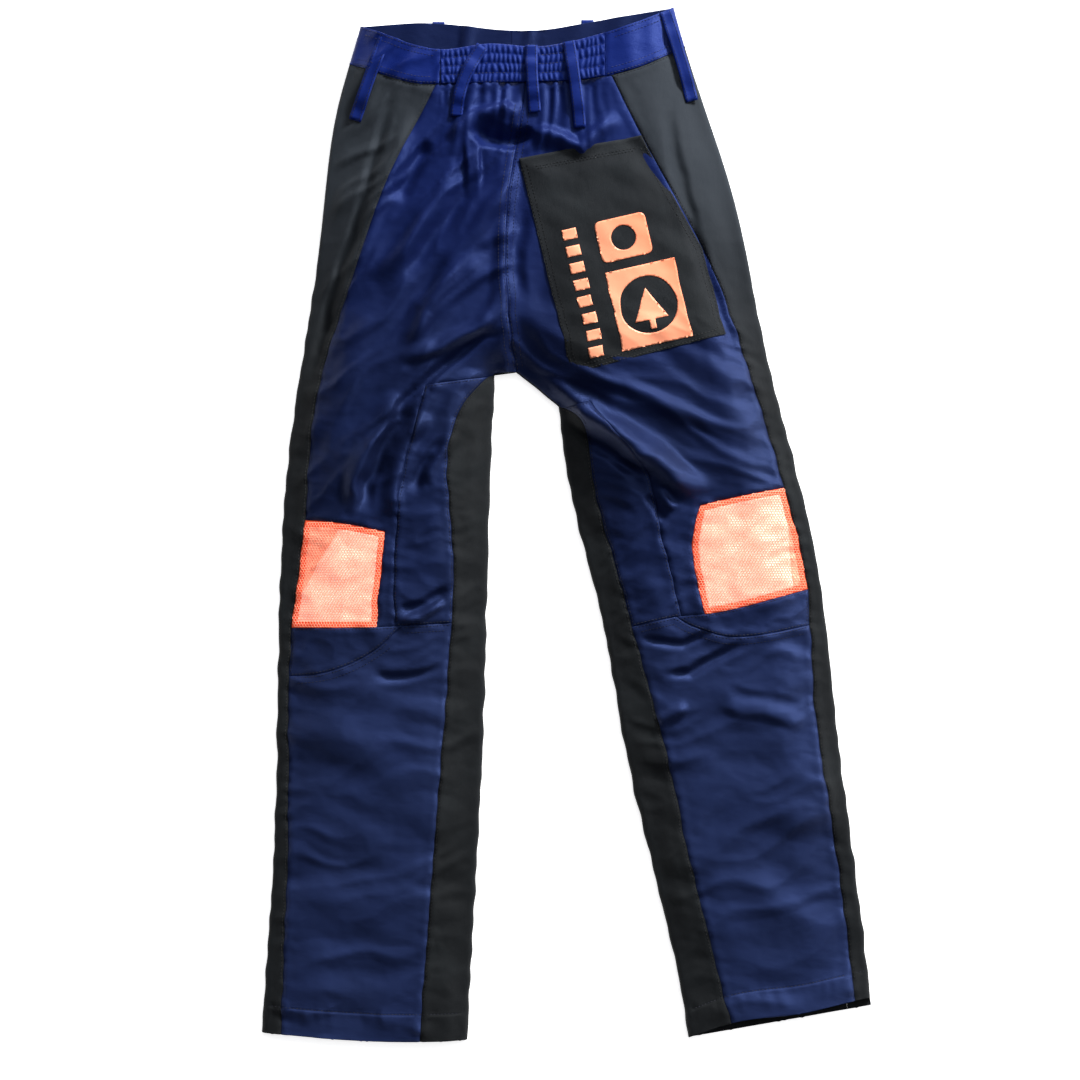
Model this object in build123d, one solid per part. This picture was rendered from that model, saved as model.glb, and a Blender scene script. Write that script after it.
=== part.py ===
from build123d import *
import os

# Chainsaw trousers lying on their front, back side up, waist towards +Y and hems towards -Y.
# Every layer of cloth is a plan outline cut to a height band. Two profiles along Y carry the layers:
# FRONT_LEVEL is the outside of the front shell, and BACK_LEVEL is the inside of the back shell.
# Left and right are the wearer's. Sizes are in millimetres. The origin is the middle of the footprint.

os.makedirs("parts", exist_ok=True)

# ---- overall sizes: the seams below are drawn for the base size, and graded to these
garment_length = 1088.0
garment_width = 644.0
base_length = 1088.0
base_width = 644.0

# ---- thickness of each material
front_cloth = 0.9
back_cloth = 0.7
lining_cloth = 0.5
pad_layer = 0.9
pad_layers = 6
band_cloth = 1.6
casing_cloth = 0.7
elastic_web = 1.4
loop_cloth = 1.2
pocket_cloth = 0.9
bag_cloth = 0.5
tape_cloth = 0.6
shield_cloth = 0.7
print_film = 0.25

# ---- clearances
sewn_gap = 0.1        # between layers sewn on each other
seam_gap = 0.15       # between two panels that meet at a seam
fit_gap = 0.3         # between pieces that only lie beside each other

# ---- room kept inside the flat garment
hem_clear = 8.0
loop_room = 4.6
rear_pocket_room = 4.6
front_pocket_room = 5.0

# ---- shell sizes
hem_turn = 30.0
side_wrap = 26.0      # side panel round on the front of the leg
inner_wrap = 24.0     # inner-leg panel round on the front of the leg
pad_above_hem = 45.0
pad_top = 328.0
pad_margin = 3.0      # from the folded edge of the leg
pad_fly_clear = 36.0  # from the centre-front seam
loop_width = 13.0

# ---- fly
fly_x = -40.0
zip_top = 470.0
zip_bottom = 312.0
tooth_pitch = 3.0
tooth_thick = 1.3
tooth_height = 2.4
tooth_reach = 2.6     # from the inner end of a tooth to its outer end
row_gap = 1.0         # the slider's wedge passes between the two rows
tape_width = 14.0
slider_length = 12.0
slider_plate = 1.0
slider_wedge = 0.6
bridge_bar = 1.0
bridge_width = 1.6
pull_bar = 0.9
pull_length = 24.0
pull_width = 7.0
pull_window = 4.4
slide_clear = 0.2
button_radius = 8.5
button_height = 3.9
shank_radius = 2.6
tack_radius = 5.0
tack_plate = 0.8

# ---- front pockets
mouth_width = 9.0
mouth_length = 110.0
mouth_lean = 12.0
bag_width = 92.0
bag_rim = 6.0
bag_corner = 14.0

# ---- sewing
fold_bulk = 1.3       # a slanted fold is up to this many times the cloth's thickness
elastic_inset = 3.0   # from the edges of the casing
loop_foot = 11.0
loop_slope = 4.0
strip_turn = 13.0     # turn of the printed emblem

# ---- levels
loop_hang = loop_cloth + loop_room + sewn_gap * 2
front_lift = loop_hang
pad_low = front_cloth + sewn_gap
lining_low = pad_low + pad_layer * pad_layers + sewn_gap
back_at_hem = lining_low + lining_cloth + hem_clear
back_at_waist = back_at_hem + 17.0
tall = back_at_waist + 60.0
reach = garment_width

# ---- seams and edges of the base size, each from the waist down or from left to right
CENTRE_BACK = [(-36, 560), (-38, 500), (-52, 400), (-62, 330), (-62, 240), (-53, 160)]
CENTRE_FRONT = [(-40, 560), (-40, 440), (-40, 330), (-45, 245), (-53, 160)]
LEFT = {
    "outer": [(-209, 560), (-217, 524), (-241, 438), (-259, 302), (-279, 172), (-297, 30),
              (-304, -120), (-308, -330), (-321, -530), (-324, -580)],
    "side": [(-120, 500), (-138, 457), (-180, 376), (-228, 247), (-264, 126), (-275, 5),
             (-289, -108), (-293, -290), (-299, -500), (-302, -580)],
    "inner": [(-75, 157), (-78, 92), (-83, -45), (-87, -206), (-98, -420), (-106, -580)],
    "inner_seam": [(-81, 155), (-113, 116), (-123, 86), (-120, -8), (-123, -143), (-135, -290),
                   (-147, -440), (-156, -580)],
    "gusset": [(-145, 160), (-160, 100), (-172, 50), (-178, 0), (-181, -60), (-179, -130)],
    "gusset_top": [(-190, 141), (-145, 146), (-81, 155), (-40, 161)],
    "vent": [(-193, 40), (-192, -25), (-196, -60), (-197, -130)],
    "vent_top": [(-340, 4), (-274, 4), (-225, -1), (-190, -8), (-90, -8)],
    "arch": [(-53, 160), (-64, 158.5), (-75, 157)],
    "knee": [(-340, -109), (-290, -109), (-195, -108), (-120, -104), (-60, -102)],
    "yoke": [(-340, -160), (-292, -160), (-258, -157), (-225, -146), (-195, -128), (-165, -98), (-150, -80)],
    "hem_back": [(-340, -535), (-300, -537), (-220, -543.5), (-100, -543.5), (-60, -543)],
    "hem_front": [(-340, -535), (-300, -537), (-220, -544), (-100, -544), (-60, -544)],
}
RIGHT = {
    "outer": [(109, 560), (113, 544), (143, 446), (174, 351), (211, 180), (254, 10), (272, -90),
              (287, -230), (303, -350), (321, -500), (328, -580)],
    "side": [(28, 510), (48, 467), (98, 370), (143, 289), (188, 172), (238, 6), (252, -55),
             (259, -170), (277, -301), (301, -480), (309, -580)],
    "inner": [(-8, 124), (9, 14), (41, -117), (63, -240), (92, -364), (134, -580)],
    "inner_seam": [(-2, 122), (18, 104), (26, 60), (47, -28), (69, -109), (103, -234), (128, -347),
                   (156, -459), (186, -580)],
    "gusset": [(16, 140), (60, 86), (86, 48), (97, 0), (109, -50), (124, -115)],
    "gusset_top": [(-60, 113), (-2, 122), (16, 127), (60, 134)],
    "vent": [(150, 60), (139, 15), (132, -18), (136, -55), (148, -115)],
    "vent_top": [(60, -2), (143, 20), (185, 30), (227, 38), (330, 50)],
    "arch": [(-53, 160), (-32, 143), (-8, 124)],
    "knee": [(10, -118), (69, -108), (118, -97), (150, -94), (200, -83), (252, -69), (330, -52)],
    "yoke": [(105, -85), (122, -102), (142, -111), (168, -118), (205, -116), (252, -107), (330, -94)],
    "hem_back": [(60, -541), (128, -541), (176, -524), (240, -515), (300, -502), (340, -498)],
    "hem_front": [(60, -554), (128, -542), (215, -527), (321, -508), (360, -501)],
}
BAND_FOOT_BACK = [(-300, 506), (-229, 484), (-196, 472), (-160, 461), (-130, 460), (-38, 462), (10, 464),
                  (48, 470), (78, 479), (111, 495), (200, 532)]
BAND_TOP_BACK = [(-300, 552), (-217, 524), (-180, 509), (-132, 496), (-80, 502), (-38, 499), (-7, 502),
                 (31, 511), (62, 521), (93, 534), (113, 544), (200, 580)]
BAND_FOOT_FRONT = [(-300, 486), (-229, 483), (-140, 485), (-40, 478), (40, 487), (111, 497), (200, 508)]
BAND_TOP_FRONT = [(-300, 524), (-216, 524), (-143, 528), (-40, 520), (25, 529), (113, 544), (200, 554)]
ELASTIC_ENDS = (-132.0, 40.0)
REAR_POCKET = [(-50, 382), (78, 406), (103, 358), (142, 289), (166, 199), (6, 157)]
POCKET_MOUTHS = {"left": (-181, 398), "right": (83, 398)}
BUTTON_Y = 500.0

# each back belt loop runs from its upper end through its bends to its lower end
BACK_LOOPS = {
    "side_left": [(-190, 511), (-222, 423)],
    "back_left": [(-88, 499), (-108, 461), (-115, 426)],
    "centre_back": [(-37, 500), (-33, 430)],
    "back_right": [(2, 504), (14, 414)],
    "side_right": [(104, 538), (132, 444)],
}
FRONT_LOOPS = {"front_left": (-135, 530), "front_right": (22, 532)}
front_loop_length = 62.0


def grade(point):
    """A point of the base size moved to the garment's own size."""
    return point[0] * garment_width / base_width, point[1] * garment_length / base_length


def grade_x(x):
    return grade((x, 0))[0]


def grade_y(y):
    return grade((0, y))[1]


fly_x = grade_x(fly_x)
zip_top = grade_y(zip_top)
zip_bottom = grade_y(zip_bottom)
pad_top = grade_y(pad_top)
FRONT_LEVEL = [(-reach * 2, 0), (grade_y(230), 0), (grade_y(296), front_lift), (reach * 2, front_lift)]
BACK_LEVEL = [
    (-reach * 2, back_at_hem),
    (grade_y(-545), back_at_hem),
    (grade_y(-300), back_at_hem + 4),
    (grade_y(-110), back_at_hem + 8),
    (grade_y(50), back_at_hem + 12),
    (grade_y(150), back_at_waist),
    (reach * 2, back_at_waist),
]


# ---- outlines and height bands
def seam(points, dx=0.0, dy=0.0):
    """A smooth seam line through the graded points, moved by (dx, dy)."""
    moved = [(x + dx, y + dy) for x, y in map(grade, points)]
    return Line(*moved) if len(moved) == 2 else Spline(*moved)


def flat(*paths):
    """The plan face inside lines that run head to tail, with a straight line wherever two don't meet."""
    edges = []
    for n, path in enumerate(paths):
        follower = paths[(n + 1) % len(paths)]
        edges.append(path)
        if (path @ 1 - follower @ 0).length > 1e-4:
            edges.append(Line(path @ 1, follower @ 0))
    return make_face(edges)


def turned(points):
    return list(reversed(points))


def column(first, second, dx_first=0.0, dx_second=0.0):
    """The plan face between two seams that run down the garment."""
    return flat(seam(first, dx_first), seam(turned(second), dx_second))


def row(upper, lower, dy_upper=0.0, dy_lower=0.0):
    """The plan face between two seams that run across the garment."""
    return flat(seam(upper, 0, dy_upper), seam(turned(lower), 0, dy_lower))


def block(x_low, x_high, y_low, y_high):
    """A plain rectangle of the plan."""
    return Pos((x_low + x_high) / 2, (y_low + y_high) / 2) * Rectangle(x_high - x_low, y_high - y_low)


def between(low_profile, low, high_profile, high):
    """All that lies from low above one height profile to high above another."""
    ring = [(-reach, y, z + low) for y, z in low_profile]
    ring += [(-reach, y, z + high) for y, z in reversed(high_profile)]
    return extrude(make_face(Polyline(*ring, close=True)), amount=2 * reach, dir=(1, 0, 0))


def layer(face, profile, low, high):
    """A cloth layer: a plan face cut to a height band over one profile."""
    return extrude(face, amount=tall) & between(profile, low, profile, high)


def upright(face, low, high):
    """A plan face from low above the front level to high above the back level."""
    return extrude(face, amount=tall) & between(FRONT_LEVEL, low, BACK_LEVEL, high)


def slab(face, low, high):
    """A plan face between two plain heights."""
    return Pos(0, 0, low) * extrude(face, amount=high - low)


def save(name, *shapes):
    """Write the solids of all shapes as one node."""
    solids = [solid for shape in shapes for solid in shape.solids()]
    export_step(solids[0] if len(solids) == 1 else Compound(children=solids), f"parts/{name}.step")


# ---- legs
def make_leg(side, seams, inward):
    """All panels, pads and linings of one leg. inward is +1 where going in from the outer edge is towards +X."""
    outer = seams["outer"]
    inner = seams["inner"]
    half = flat(seam(CENTRE_BACK), seam(seams["arch"]), seam(inner), seam(turned(outer)))
    front_half = flat(seam(CENTRE_FRONT), seam(seams["arch"]), seam(inner), seam(turned(outer)))
    back_rows = row(BAND_FOOT_BACK, seams["hem_back"], -seam_gap)
    front_rows = row(BAND_FOOT_FRONT, seams["hem_front"], -seam_gap)
    legs = row([(-garment_width, 160), (garment_width, 160)], seams["hem_back"])
    thigh_rows = row(BAND_FOOT_BACK, seams["knee"], -seam_gap)
    calf_rows = row(seams["knee"], seams["hem_back"], -seam_gap)
    fold_edge = front_cloth + seam_gap

    # the side panel folds round the outer edge, from the seam at the back to the seam at the front
    back_strip = column(outer, seams["side"]) & back_rows
    fold = column(outer, outer, 0, inward * front_cloth) & back_rows & front_rows
    front_strip = column(outer, outer, 0, inward * side_wrap) & front_rows
    save(f"side_panel_{side}", layer(back_strip, BACK_LEVEL, 0, back_cloth) + upright(fold, 0, back_cloth)
         + layer(front_strip, FRONT_LEVEL, 0, front_cloth))

    # the inner-leg panel folds round the inner edge, and closes the arch of the crotch
    back_strip = column(seams["inner_seam"], inner) & legs
    fold = (half - Pos(-inward * front_cloth, front_cloth) * half) & legs
    front_strip = column(inner, inner, -inward * inner_wrap, 0) & front_half & legs & front_rows
    save(f"inner_leg_panel_{side}", layer(back_strip, BACK_LEVEL, 0, back_cloth) + upright(fold, 0, back_cloth)
         + layer(front_strip, FRONT_LEVEL, 0, front_cloth))

    # back panels, each inside the seams that it shares with its neighbours
    inside_side = half - column(outer, seams["side"], -inward * 1, inward * seam_gap)
    inside_seams = inside_side - (column(seams["inner_seam"], inner, -inward * seam_gap, inward * 1) & legs)
    inside_seams = inside_seams - (half - Pos(-inward * fold_edge, fold_edge) * half) + (inside_seams - legs)
    vent = inside_seams & column(seams["side"], seams["vent"]) & row(seams["vent_top"], seams["knee"])
    vent_space = column(seams["side"], seams["vent"], 0, inward * seam_gap)
    vent_space = vent_space & row(seams["vent_top"], seams["knee"], seam_gap)
    gusset_space = column(seams["gusset"], inner, -inward * seam_gap, inward * 1)
    gusset_space = gusset_space & row(seams["gusset_top"], seams["knee"], seam_gap)
    gusset = column(seams["gusset"], inner) & row(seams["gusset_top"], seams["knee"]) & inside_seams
    seat = (inside_seams & thigh_rows) - vent_space - gusset_space
    seat = seat - column(CENTRE_BACK, CENTRE_BACK, -seam_gap / 2, seam_gap / 2)
    yoke = inside_seams & calf_rows & row(seams["knee"], seams["yoke"])
    calf = (inside_seams & calf_rows) - row(seams["knee"], seams["yoke"], seam_gap, -seam_gap)
    for name, face in (("seat_panel", seat), ("thigh_gusset", gusset), ("knee_vent_mesh", vent),
                       ("vent_yoke", yoke), ("calf_panel", calf)):
        save(f"{name}_{side}", layer(face, BACK_LEVEL, 0, back_cloth))

    # front panel, from the side panel's seam to the inner-leg panel's seam and the fly
    front = front_half & front_rows
    front = front - column(outer, outer, -inward * 1, inward * (side_wrap + seam_gap))
    front = front - (column(inner, inner, -inward * (inner_wrap + seam_gap), inward * 1) & legs)
    front = front - ((half - Pos(-inward * fold_edge, fold_edge) * half) & legs)
    fly_half = row_gap / 2 + tooth_reach + slide_clear * 2 + slider_plate + fit_gap
    front = front - block(fly_x - fly_half, fly_x + fly_half, zip_bottom - 6, garment_length)
    front = front - column(CENTRE_FRONT, CENTRE_FRONT, -seam_gap / 2, seam_gap / 2)
    front = front - pocket_mouth(side, inward)
    save(f"front_panel_{side}", layer(front, FRONT_LEVEL, 0, front_cloth))

    # protective layers and their lining, on the inside of the front
    pad_edge = front_cloth + pad_margin
    pad_rows = row([(-garment_width, 0), (garment_width, 0)], seams["hem_front"], pad_top, pad_above_hem)
    pad = front_half & pad_rows & column(outer, CENTRE_FRONT, inward * pad_edge, -inward * pad_fly_clear)
    pad_leg = column(outer, inner, inward * pad_edge, -inward * pad_edge) & pad_rows & legs
    pad = (pad - block(-garment_width, garment_width, -garment_length, grade_y(150))) + \
        (pad_leg & block(-garment_width, garment_width, -garment_length, grade_y(150)))
    lowest = [(pad_low + n * pad_layer) for n in range(pad_layers)]
    save(f"protective_layers_{side}",
         *[layer(pad, FRONT_LEVEL, low, low + pad_layer) for low in lowest])
    save(f"leg_lining_{side}", layer(pad, FRONT_LEVEL, lining_low, lining_low + lining_cloth))

    # the hem is turned up inside the leg, all round
    edge = front_cloth * fold_bulk + sewn_gap
    hem_rows = row(seams["hem_back"], seams["hem_back"], hem_turn)
    ring = column(outer, inner, inward * edge, -inward * edge) & hem_rows
    core = column(outer, inner, inward * (edge + lining_cloth), -inward * (edge + lining_cloth)) & hem_rows
    facing = layer(ring, FRONT_LEVEL, pad_low, pad_low + lining_cloth) + upright(ring - core, pad_low, -sewn_gap)
    facing = facing + layer(ring, BACK_LEVEL, -sewn_gap - lining_cloth, -sewn_gap)
    save(f"hem_facing_{side}", facing)


# ---- front pockets: a slanted mouth in the front panel over a bag that hangs inside
def pocket_place(side, inward):
    return Pos(*grade(POCKET_MOUTHS[side])) * Rot(0, 0, inward * mouth_lean)


def pocket_mouth(side, inward):
    return pocket_place(side, inward) * SlotOverall(mouth_length, mouth_width, rotation=90)


def make_front_pocket(side, inward):
    """Two cloths with a bound seam round them; the front one is open over the mouth."""
    place = pocket_place(side, inward)
    low = front_lift + front_cloth + sewn_gap
    high = low + bag_cloth + front_pocket_room + bag_cloth
    bag_wide = grade_x(bag_width)
    bag_length = mouth_length + bag_rim * 2
    middle = place * Pos(inward * (bag_wide / 2 - mouth_width / 2 - bag_rim), -bag_rim / 2)
    outline = middle * RectangleRounded(bag_wide, bag_length, bag_corner)
    hollow = middle * RectangleRounded(
        bag_wide - bag_cloth * 2, bag_length - bag_cloth * 2, bag_corner - bag_cloth)
    front = slab(outline, low, low + bag_cloth)
    save(f"front_pocket_bag_front_{side}", front - slab(pocket_mouth(side, inward), low, low + bag_cloth))
    save(f"front_pocket_bag_back_{side}", slab(outline, high - bag_cloth, high))
    seam_low = low + bag_cloth + sewn_gap
    seam_high = high - bag_cloth - sewn_gap
    save(f"front_pocket_bag_seam_{side}", slab(outline, seam_low, seam_high) - slab(hollow, seam_low, seam_high))
    strip = place * Pos(inward * bag_rim, 0) * Rectangle(mouth_width * 3, mouth_length - bag_corner)
    top = high - bag_cloth - sewn_gap
    save(f"front_pocket_facing_{side}", slab(strip, top - bag_cloth, top))


# ---- waistband
def make_waistband():
    """Smooth bands go round from the fly to the elastic, which gathers the back between them."""
    left_end, right_end = map(grade_x, ELASTIC_ENDS)
    back = row(BAND_TOP_BACK, BAND_FOOT_BACK)
    front = row(BAND_TOP_FRONT, BAND_FOOT_FRONT)
    waist = column(LEFT["outer"], RIGHT["outer"])
    overlap = tape_width + 4
    over = band_cloth + sewn_gap
    hole = Pos(fly_x, button_y) * Circle(shank_radius + slide_clear)
    hole = slab(hole, 0, back_at_hem)

    # the left band ends on top of the fly, outside the right one
    outer = LEFT["outer"]
    fold = column(outer, outer, 0, band_cloth) & back & front
    band = layer(back & waist & block(-reach, left_end, 0, reach), BACK_LEVEL, 0, band_cloth)
    band = band + upright(fold, 0, band_cloth)
    band = band + layer(front & waist & block(-reach, fly_x + overlap, 0, reach), FRONT_LEVEL, 0, band_cloth)
    save("waistband_left", band - hole)

    # the right band steps inwards beside the fly, and runs on under the left one
    outer = RIGHT["outer"]
    step = fly_x + overlap + fit_gap
    fold = column(outer, outer, -band_cloth, 0) & back & front
    band = layer(back & waist & block(right_end, reach, 0, reach), BACK_LEVEL, 0, band_cloth)
    band = band + upright(fold, 0, band_cloth)
    band = band + layer(front & waist & block(step, reach, 0, reach), FRONT_LEVEL, 0, band_cloth)
    band = band + layer(front & block(step, step + 8, 0, reach), FRONT_LEVEL, 0, over + band_cloth)
    band = band + layer(front & block(fly_x - overlap, step + 8, 0, reach), FRONT_LEVEL, over, over + band_cloth)
    save("waistband_right", band - hole)

    # the elastic lies in a casing of two plies
    span = block(left_end + seam_gap, right_end - seam_gap, 0, reach)
    casing = back & span
    web = row(BAND_TOP_BACK, BAND_FOOT_BACK, -elastic_inset, elastic_inset) & span
    web_low = casing_cloth + sewn_gap
    cover_low = web_low + elastic_web + sewn_gap
    save("elastic_casing_inner", layer(casing, BACK_LEVEL, 0, casing_cloth))
    save("waist_elastic", layer(web, BACK_LEVEL, web_low, web_low + elastic_web))
    save("elastic_casing_outer", layer(casing, BACK_LEVEL, cover_low, cover_low + casing_cloth))


elastic_top = casing_cloth * 2 + elastic_web + sewn_gap * 2
button_y = grade_y(BUTTON_Y)


# ---- belt loops
def strap(ring, thickness, x_low, x_high):
    """A band of cloth whose side view follows the ring of (y, z) points, from x_low to x_high."""
    other = [(y, z + thickness) for y, z in ring]
    profile = [(x_low, y, z) for y, z in ring + turned(other)]
    return extrude(make_face(Polyline(*profile, close=True)), amount=x_high - x_low, dir=(1, 0, 0))


def make_back_loop(name, points):
    """A loop sewn down at both ends, which stands clear of the band between them."""
    left = seam(points, -loop_width / 2)
    right = seam(turned(points), loop_width / 2)
    y_top = grade(points[0])[1]
    y_low = grade(points[-1])[1]
    band = back_at_waist + elastic_top + sewn_gap
    panel = back_at_waist + back_cloth + sewn_gap
    ring = [
        (y_top + 1, band), (y_top - loop_foot, band), (y_top - loop_foot - loop_slope, band + loop_room),
        (y_low + loop_foot + loop_slope, band + loop_room), (y_low + loop_foot, panel), (y_low - 1, panel),
    ]
    save(f"belt_loop_{name}", extrude(flat(left, right), amount=tall) & strap(ring, loop_cloth, -reach, reach))


def make_front_loop(name, place):
    """The front loops hang below the band, and carry the front of the waist."""
    x, y_top = grade(place)
    y_low = y_top - front_loop_length
    sewn = front_lift - sewn_gap - loop_cloth
    ring = [
        (y_top, sewn), (y_top - loop_foot, sewn), (y_top - loop_foot - loop_slope, 0),
        (y_low + loop_foot + loop_slope, 0), (y_low + loop_foot, sewn), (y_low, sewn),
    ]
    save(f"belt_loop_{name}", strap(ring, loop_cloth, x - loop_width / 2, x + loop_width / 2))


# ---- rear pocket
def make_rear_pocket():
    """A patch pocket that stands off the seat, open at the top, with a printed emblem."""
    corners = [Vector(*grade(point)) for point in REAR_POCKET]
    outline = make_face(Polyline(*corners, close=True))
    start, end = corners[0], corners[1]
    along_mouth = (end - start).normalized() * pocket_cloth * 1.5
    out = Vector(0, 40)
    mouth = make_face(Polyline(start + along_mouth - out / 8, start + along_mouth + out,
                               end - along_mouth + out, end - along_mouth - out / 8, close=True))
    low = back_cloth + sewn_gap
    high = low + rear_pocket_room + pocket_cloth
    hollow = offset(outline, -pocket_cloth) + mouth
    pocket = layer(outline, BACK_LEVEL, low, high) - layer(hollow, BACK_LEVEL, low, high - pocket_cloth)
    save("rear_pocket", pocket)

    # the emblem: a column of bars, a block with a round hole, and a frame round a tree
    turn = Pos(*grade((77, 258))) * Rot(0, 0, strip_turn)
    bars = [turn * Pos(-62, y) * Rectangle(15, 11) for y in range(-66, 67, 18)]
    block_face = turn * Pos(-8, 44) * (RectangleRounded(54, 44, 6) - Circle(13))
    frame = turn * Pos(2, -30) * (Rectangle(74, 84) - Circle(30))
    tree_ring = Polyline((-17, -12), (-3, -12), (-3, -22), (3, -22), (3, -12), (17, -12), (0, 22), close=True)
    tree = turn * Pos(2, -34) * make_face(tree_ring)
    film_low = high + sewn_gap
    save("rear_pocket_print", *[layer(face, BACK_LEVEL, film_low, film_low + print_film)
                                for face in bars + [block_face, frame, tree]])


# ---- fly
def make_fly():
    """Zip tapes behind the edges of the fly, two rows of teeth, the slider with its pull, and the stops."""
    mid = front_lift + front_cloth + sewn_gap + tape_cloth / 2
    tape_low = mid - tape_cloth / 2
    tape_high = mid + tape_cloth / 2
    inner_end = row_gap / 2
    outer_end = inner_end + tooth_reach
    tape_edge = inner_end + 1.2
    top_stop = 3.0
    count = int((zip_top - top_stop - zip_bottom) / tooth_pitch)
    for side, sign in (("left", -1), ("right", 1)):
        tape_x = sorted((fly_x + sign * tape_edge, fly_x + sign * (tape_edge + tape_width)))
        tape = block(*tape_x, zip_bottom - 10, zip_top + 6)
        save(f"zip_tape_{side}", slab(tape, tape_low, tape_high))
        tooth_x = sorted((fly_x + sign * inner_end, fly_x + sign * outer_end))
        first = zip_bottom + (tooth_pitch / 2 if sign > 0 else 0)
        jaw = slab(tape, tape_low - slide_clear / 4, tape_high + slide_clear / 4)
        teeth = []
        for n in range(count):
            y = first + n * tooth_pitch
            tooth = slab(block(*tooth_x, y, y + tooth_thick), mid - tooth_height / 2, mid + tooth_height / 2)
            teeth.append(tooth - jaw)
        save(f"zip_teeth_{side}", *teeth)

        placket_x = sorted((fly_x + sign * (outer_end + slide_clear * 2 + slider_plate + fit_gap),
                            fly_x + sign * (tape_edge + tape_width + 8)))
        placket = block(*placket_x, zip_bottom - 4, zip_top + 2)
        save(f"fly_facing_{side}", slab(placket, tape_high + sewn_gap, tape_high + sewn_gap + lining_cloth))

    jaw = slab(block(fly_x - tape_width, fly_x + tape_width, 0, reach * 2), tape_low - 0.05, tape_high + 0.05)
    stops = []
    for sign in (-1, 1):
        stop_x = sorted((fly_x + sign * inner_end, fly_x + sign * outer_end))
        stop = slab(block(*stop_x, zip_top, zip_top + top_stop), mid - tooth_height / 2, mid + tooth_height / 2)
        grip = sorted((fly_x + sign * tape_edge, fly_x + sign * (tape_edge + tape_width)))
        stops.append(stop - slab(block(*grip, 0, reach * 2), tape_low - 0.05, tape_high + 0.05))
    save("zip_top_stops", *stops)
    grips = slab(block(fly_x - outer_end - 1, fly_x - tape_edge, 0, reach * 2)
                 + block(fly_x + tape_edge, fly_x + outer_end + 1, 0, reach * 2), tape_low - 0.05, tape_high + 0.05)
    foot = slab(block(fly_x - outer_end, fly_x + outer_end, zip_bottom - 5, zip_bottom - 1),
                mid - tooth_height / 2, mid + tooth_height / 2)
    save("zip_bottom_stop", foot - grips)

    # slider: two plates joined by a thin wedge between the rows, with side walls that leave the tapes a slot
    half = outer_end + slide_clear + slider_plate
    top_y = zip_top - fit_gap
    low_y = top_y - slider_length
    under = mid - tooth_height / 2 - slide_clear
    over = mid + tooth_height / 2 + slide_clear
    plates = slab(block(fly_x - half, fly_x + half, low_y, top_y), under - slider_plate, under)
    plates = plates + slab(block(fly_x - half, fly_x + half, low_y, top_y), over, over + slider_plate)
    wedge = slab(block(fly_x - slider_wedge / 2, fly_x + slider_wedge / 2, top_y - 3.5, top_y), under, over)
    slider = plates + wedge
    for sign in (-1, 1):
        wall = sorted((fly_x + sign * (half - slider_plate), fly_x + sign * half))
        slider = slider + slab(block(*wall, low_y, top_y), under, tape_low - slide_clear)
        slider = slider + slab(block(*wall, low_y, top_y), tape_high + sewn_gap + lining_cloth + slide_clear, over)
    mid_y = (low_y + top_y) / 2
    bar_gap = pull_bar + 0.7
    plate_low = under - slider_plate
    bridge_half = 3.2
    bridge_low = plate_low - bar_gap - bridge_bar
    bridge = slab(block(fly_x - bridge_width / 2, fly_x + bridge_width / 2, mid_y - bridge_half,
                        mid_y + bridge_half), bridge_low, bridge_low + bridge_bar)
    for sign in (-1, 1):
        post = sorted((mid_y + sign * (bridge_half - 1), mid_y + sign * bridge_half))
        bridge = bridge + slab(block(fly_x - bridge_width / 2, fly_x + bridge_width / 2, *post),
                               bridge_low, plate_low)
    save("zip_slider", slider + bridge)

    # pull: a bar that turns inside the bridge, two arms and a tab
    axle_z = plate_low - bar_gap / 2
    arm = 1.0
    arm_x = bridge_width / 2 + 0.4
    axle = Pos(fly_x, mid_y, axle_z) * Rot(0, 90, 0) * Cylinder(pull_bar / 2, (arm_x + arm) * 2)
    tab = Pos(fly_x, mid_y - (pull_window + pull_length) / 2) * \
        RectangleRounded(pull_width, pull_length - pull_window, 1.8)
    tab = tab - Pos(fly_x, mid_y - pull_length + 4) * Circle(1.5)
    pull = axle + slab(tab, axle_z - pull_bar / 2, axle_z + pull_bar / 2)
    for sign in (-1, 1):
        arm_span = sorted((fly_x + sign * arm_x, fly_x + sign * (arm_x + arm)))
        pull = pull + slab(block(*arm_span, mid_y - pull_window - 1, mid_y), axle_z - pull_bar / 2,
                           axle_z + pull_bar / 2)
    save("zip_pull", pull)
    print("slide", zip_top - zip_bottom - slider_length - 3, "pivot", fly_x, mid_y, axle_z)

    # the shield hangs behind the zip, from the facing on the wearer's right
    shield_low = over + slider_plate + fit_gap * 2
    edge_low = tape_high + sewn_gap + lining_cloth + sewn_gap
    ring = [(-16, shield_low), (11, shield_low), (15, edge_low), (tape_edge + tape_width + 8, edge_low)]
    above = [(x, z + shield_cloth) for x, z in ring]
    profile = [(fly_x + x, zip_bottom - 12, z) for x, z in ring + list(reversed(above))]
    save("fly_shield", extrude(make_face(Polyline(*profile, close=True)), amount=zip_top + 2 - zip_bottom + 12,
                               dir=(0, 1, 0)))


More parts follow.
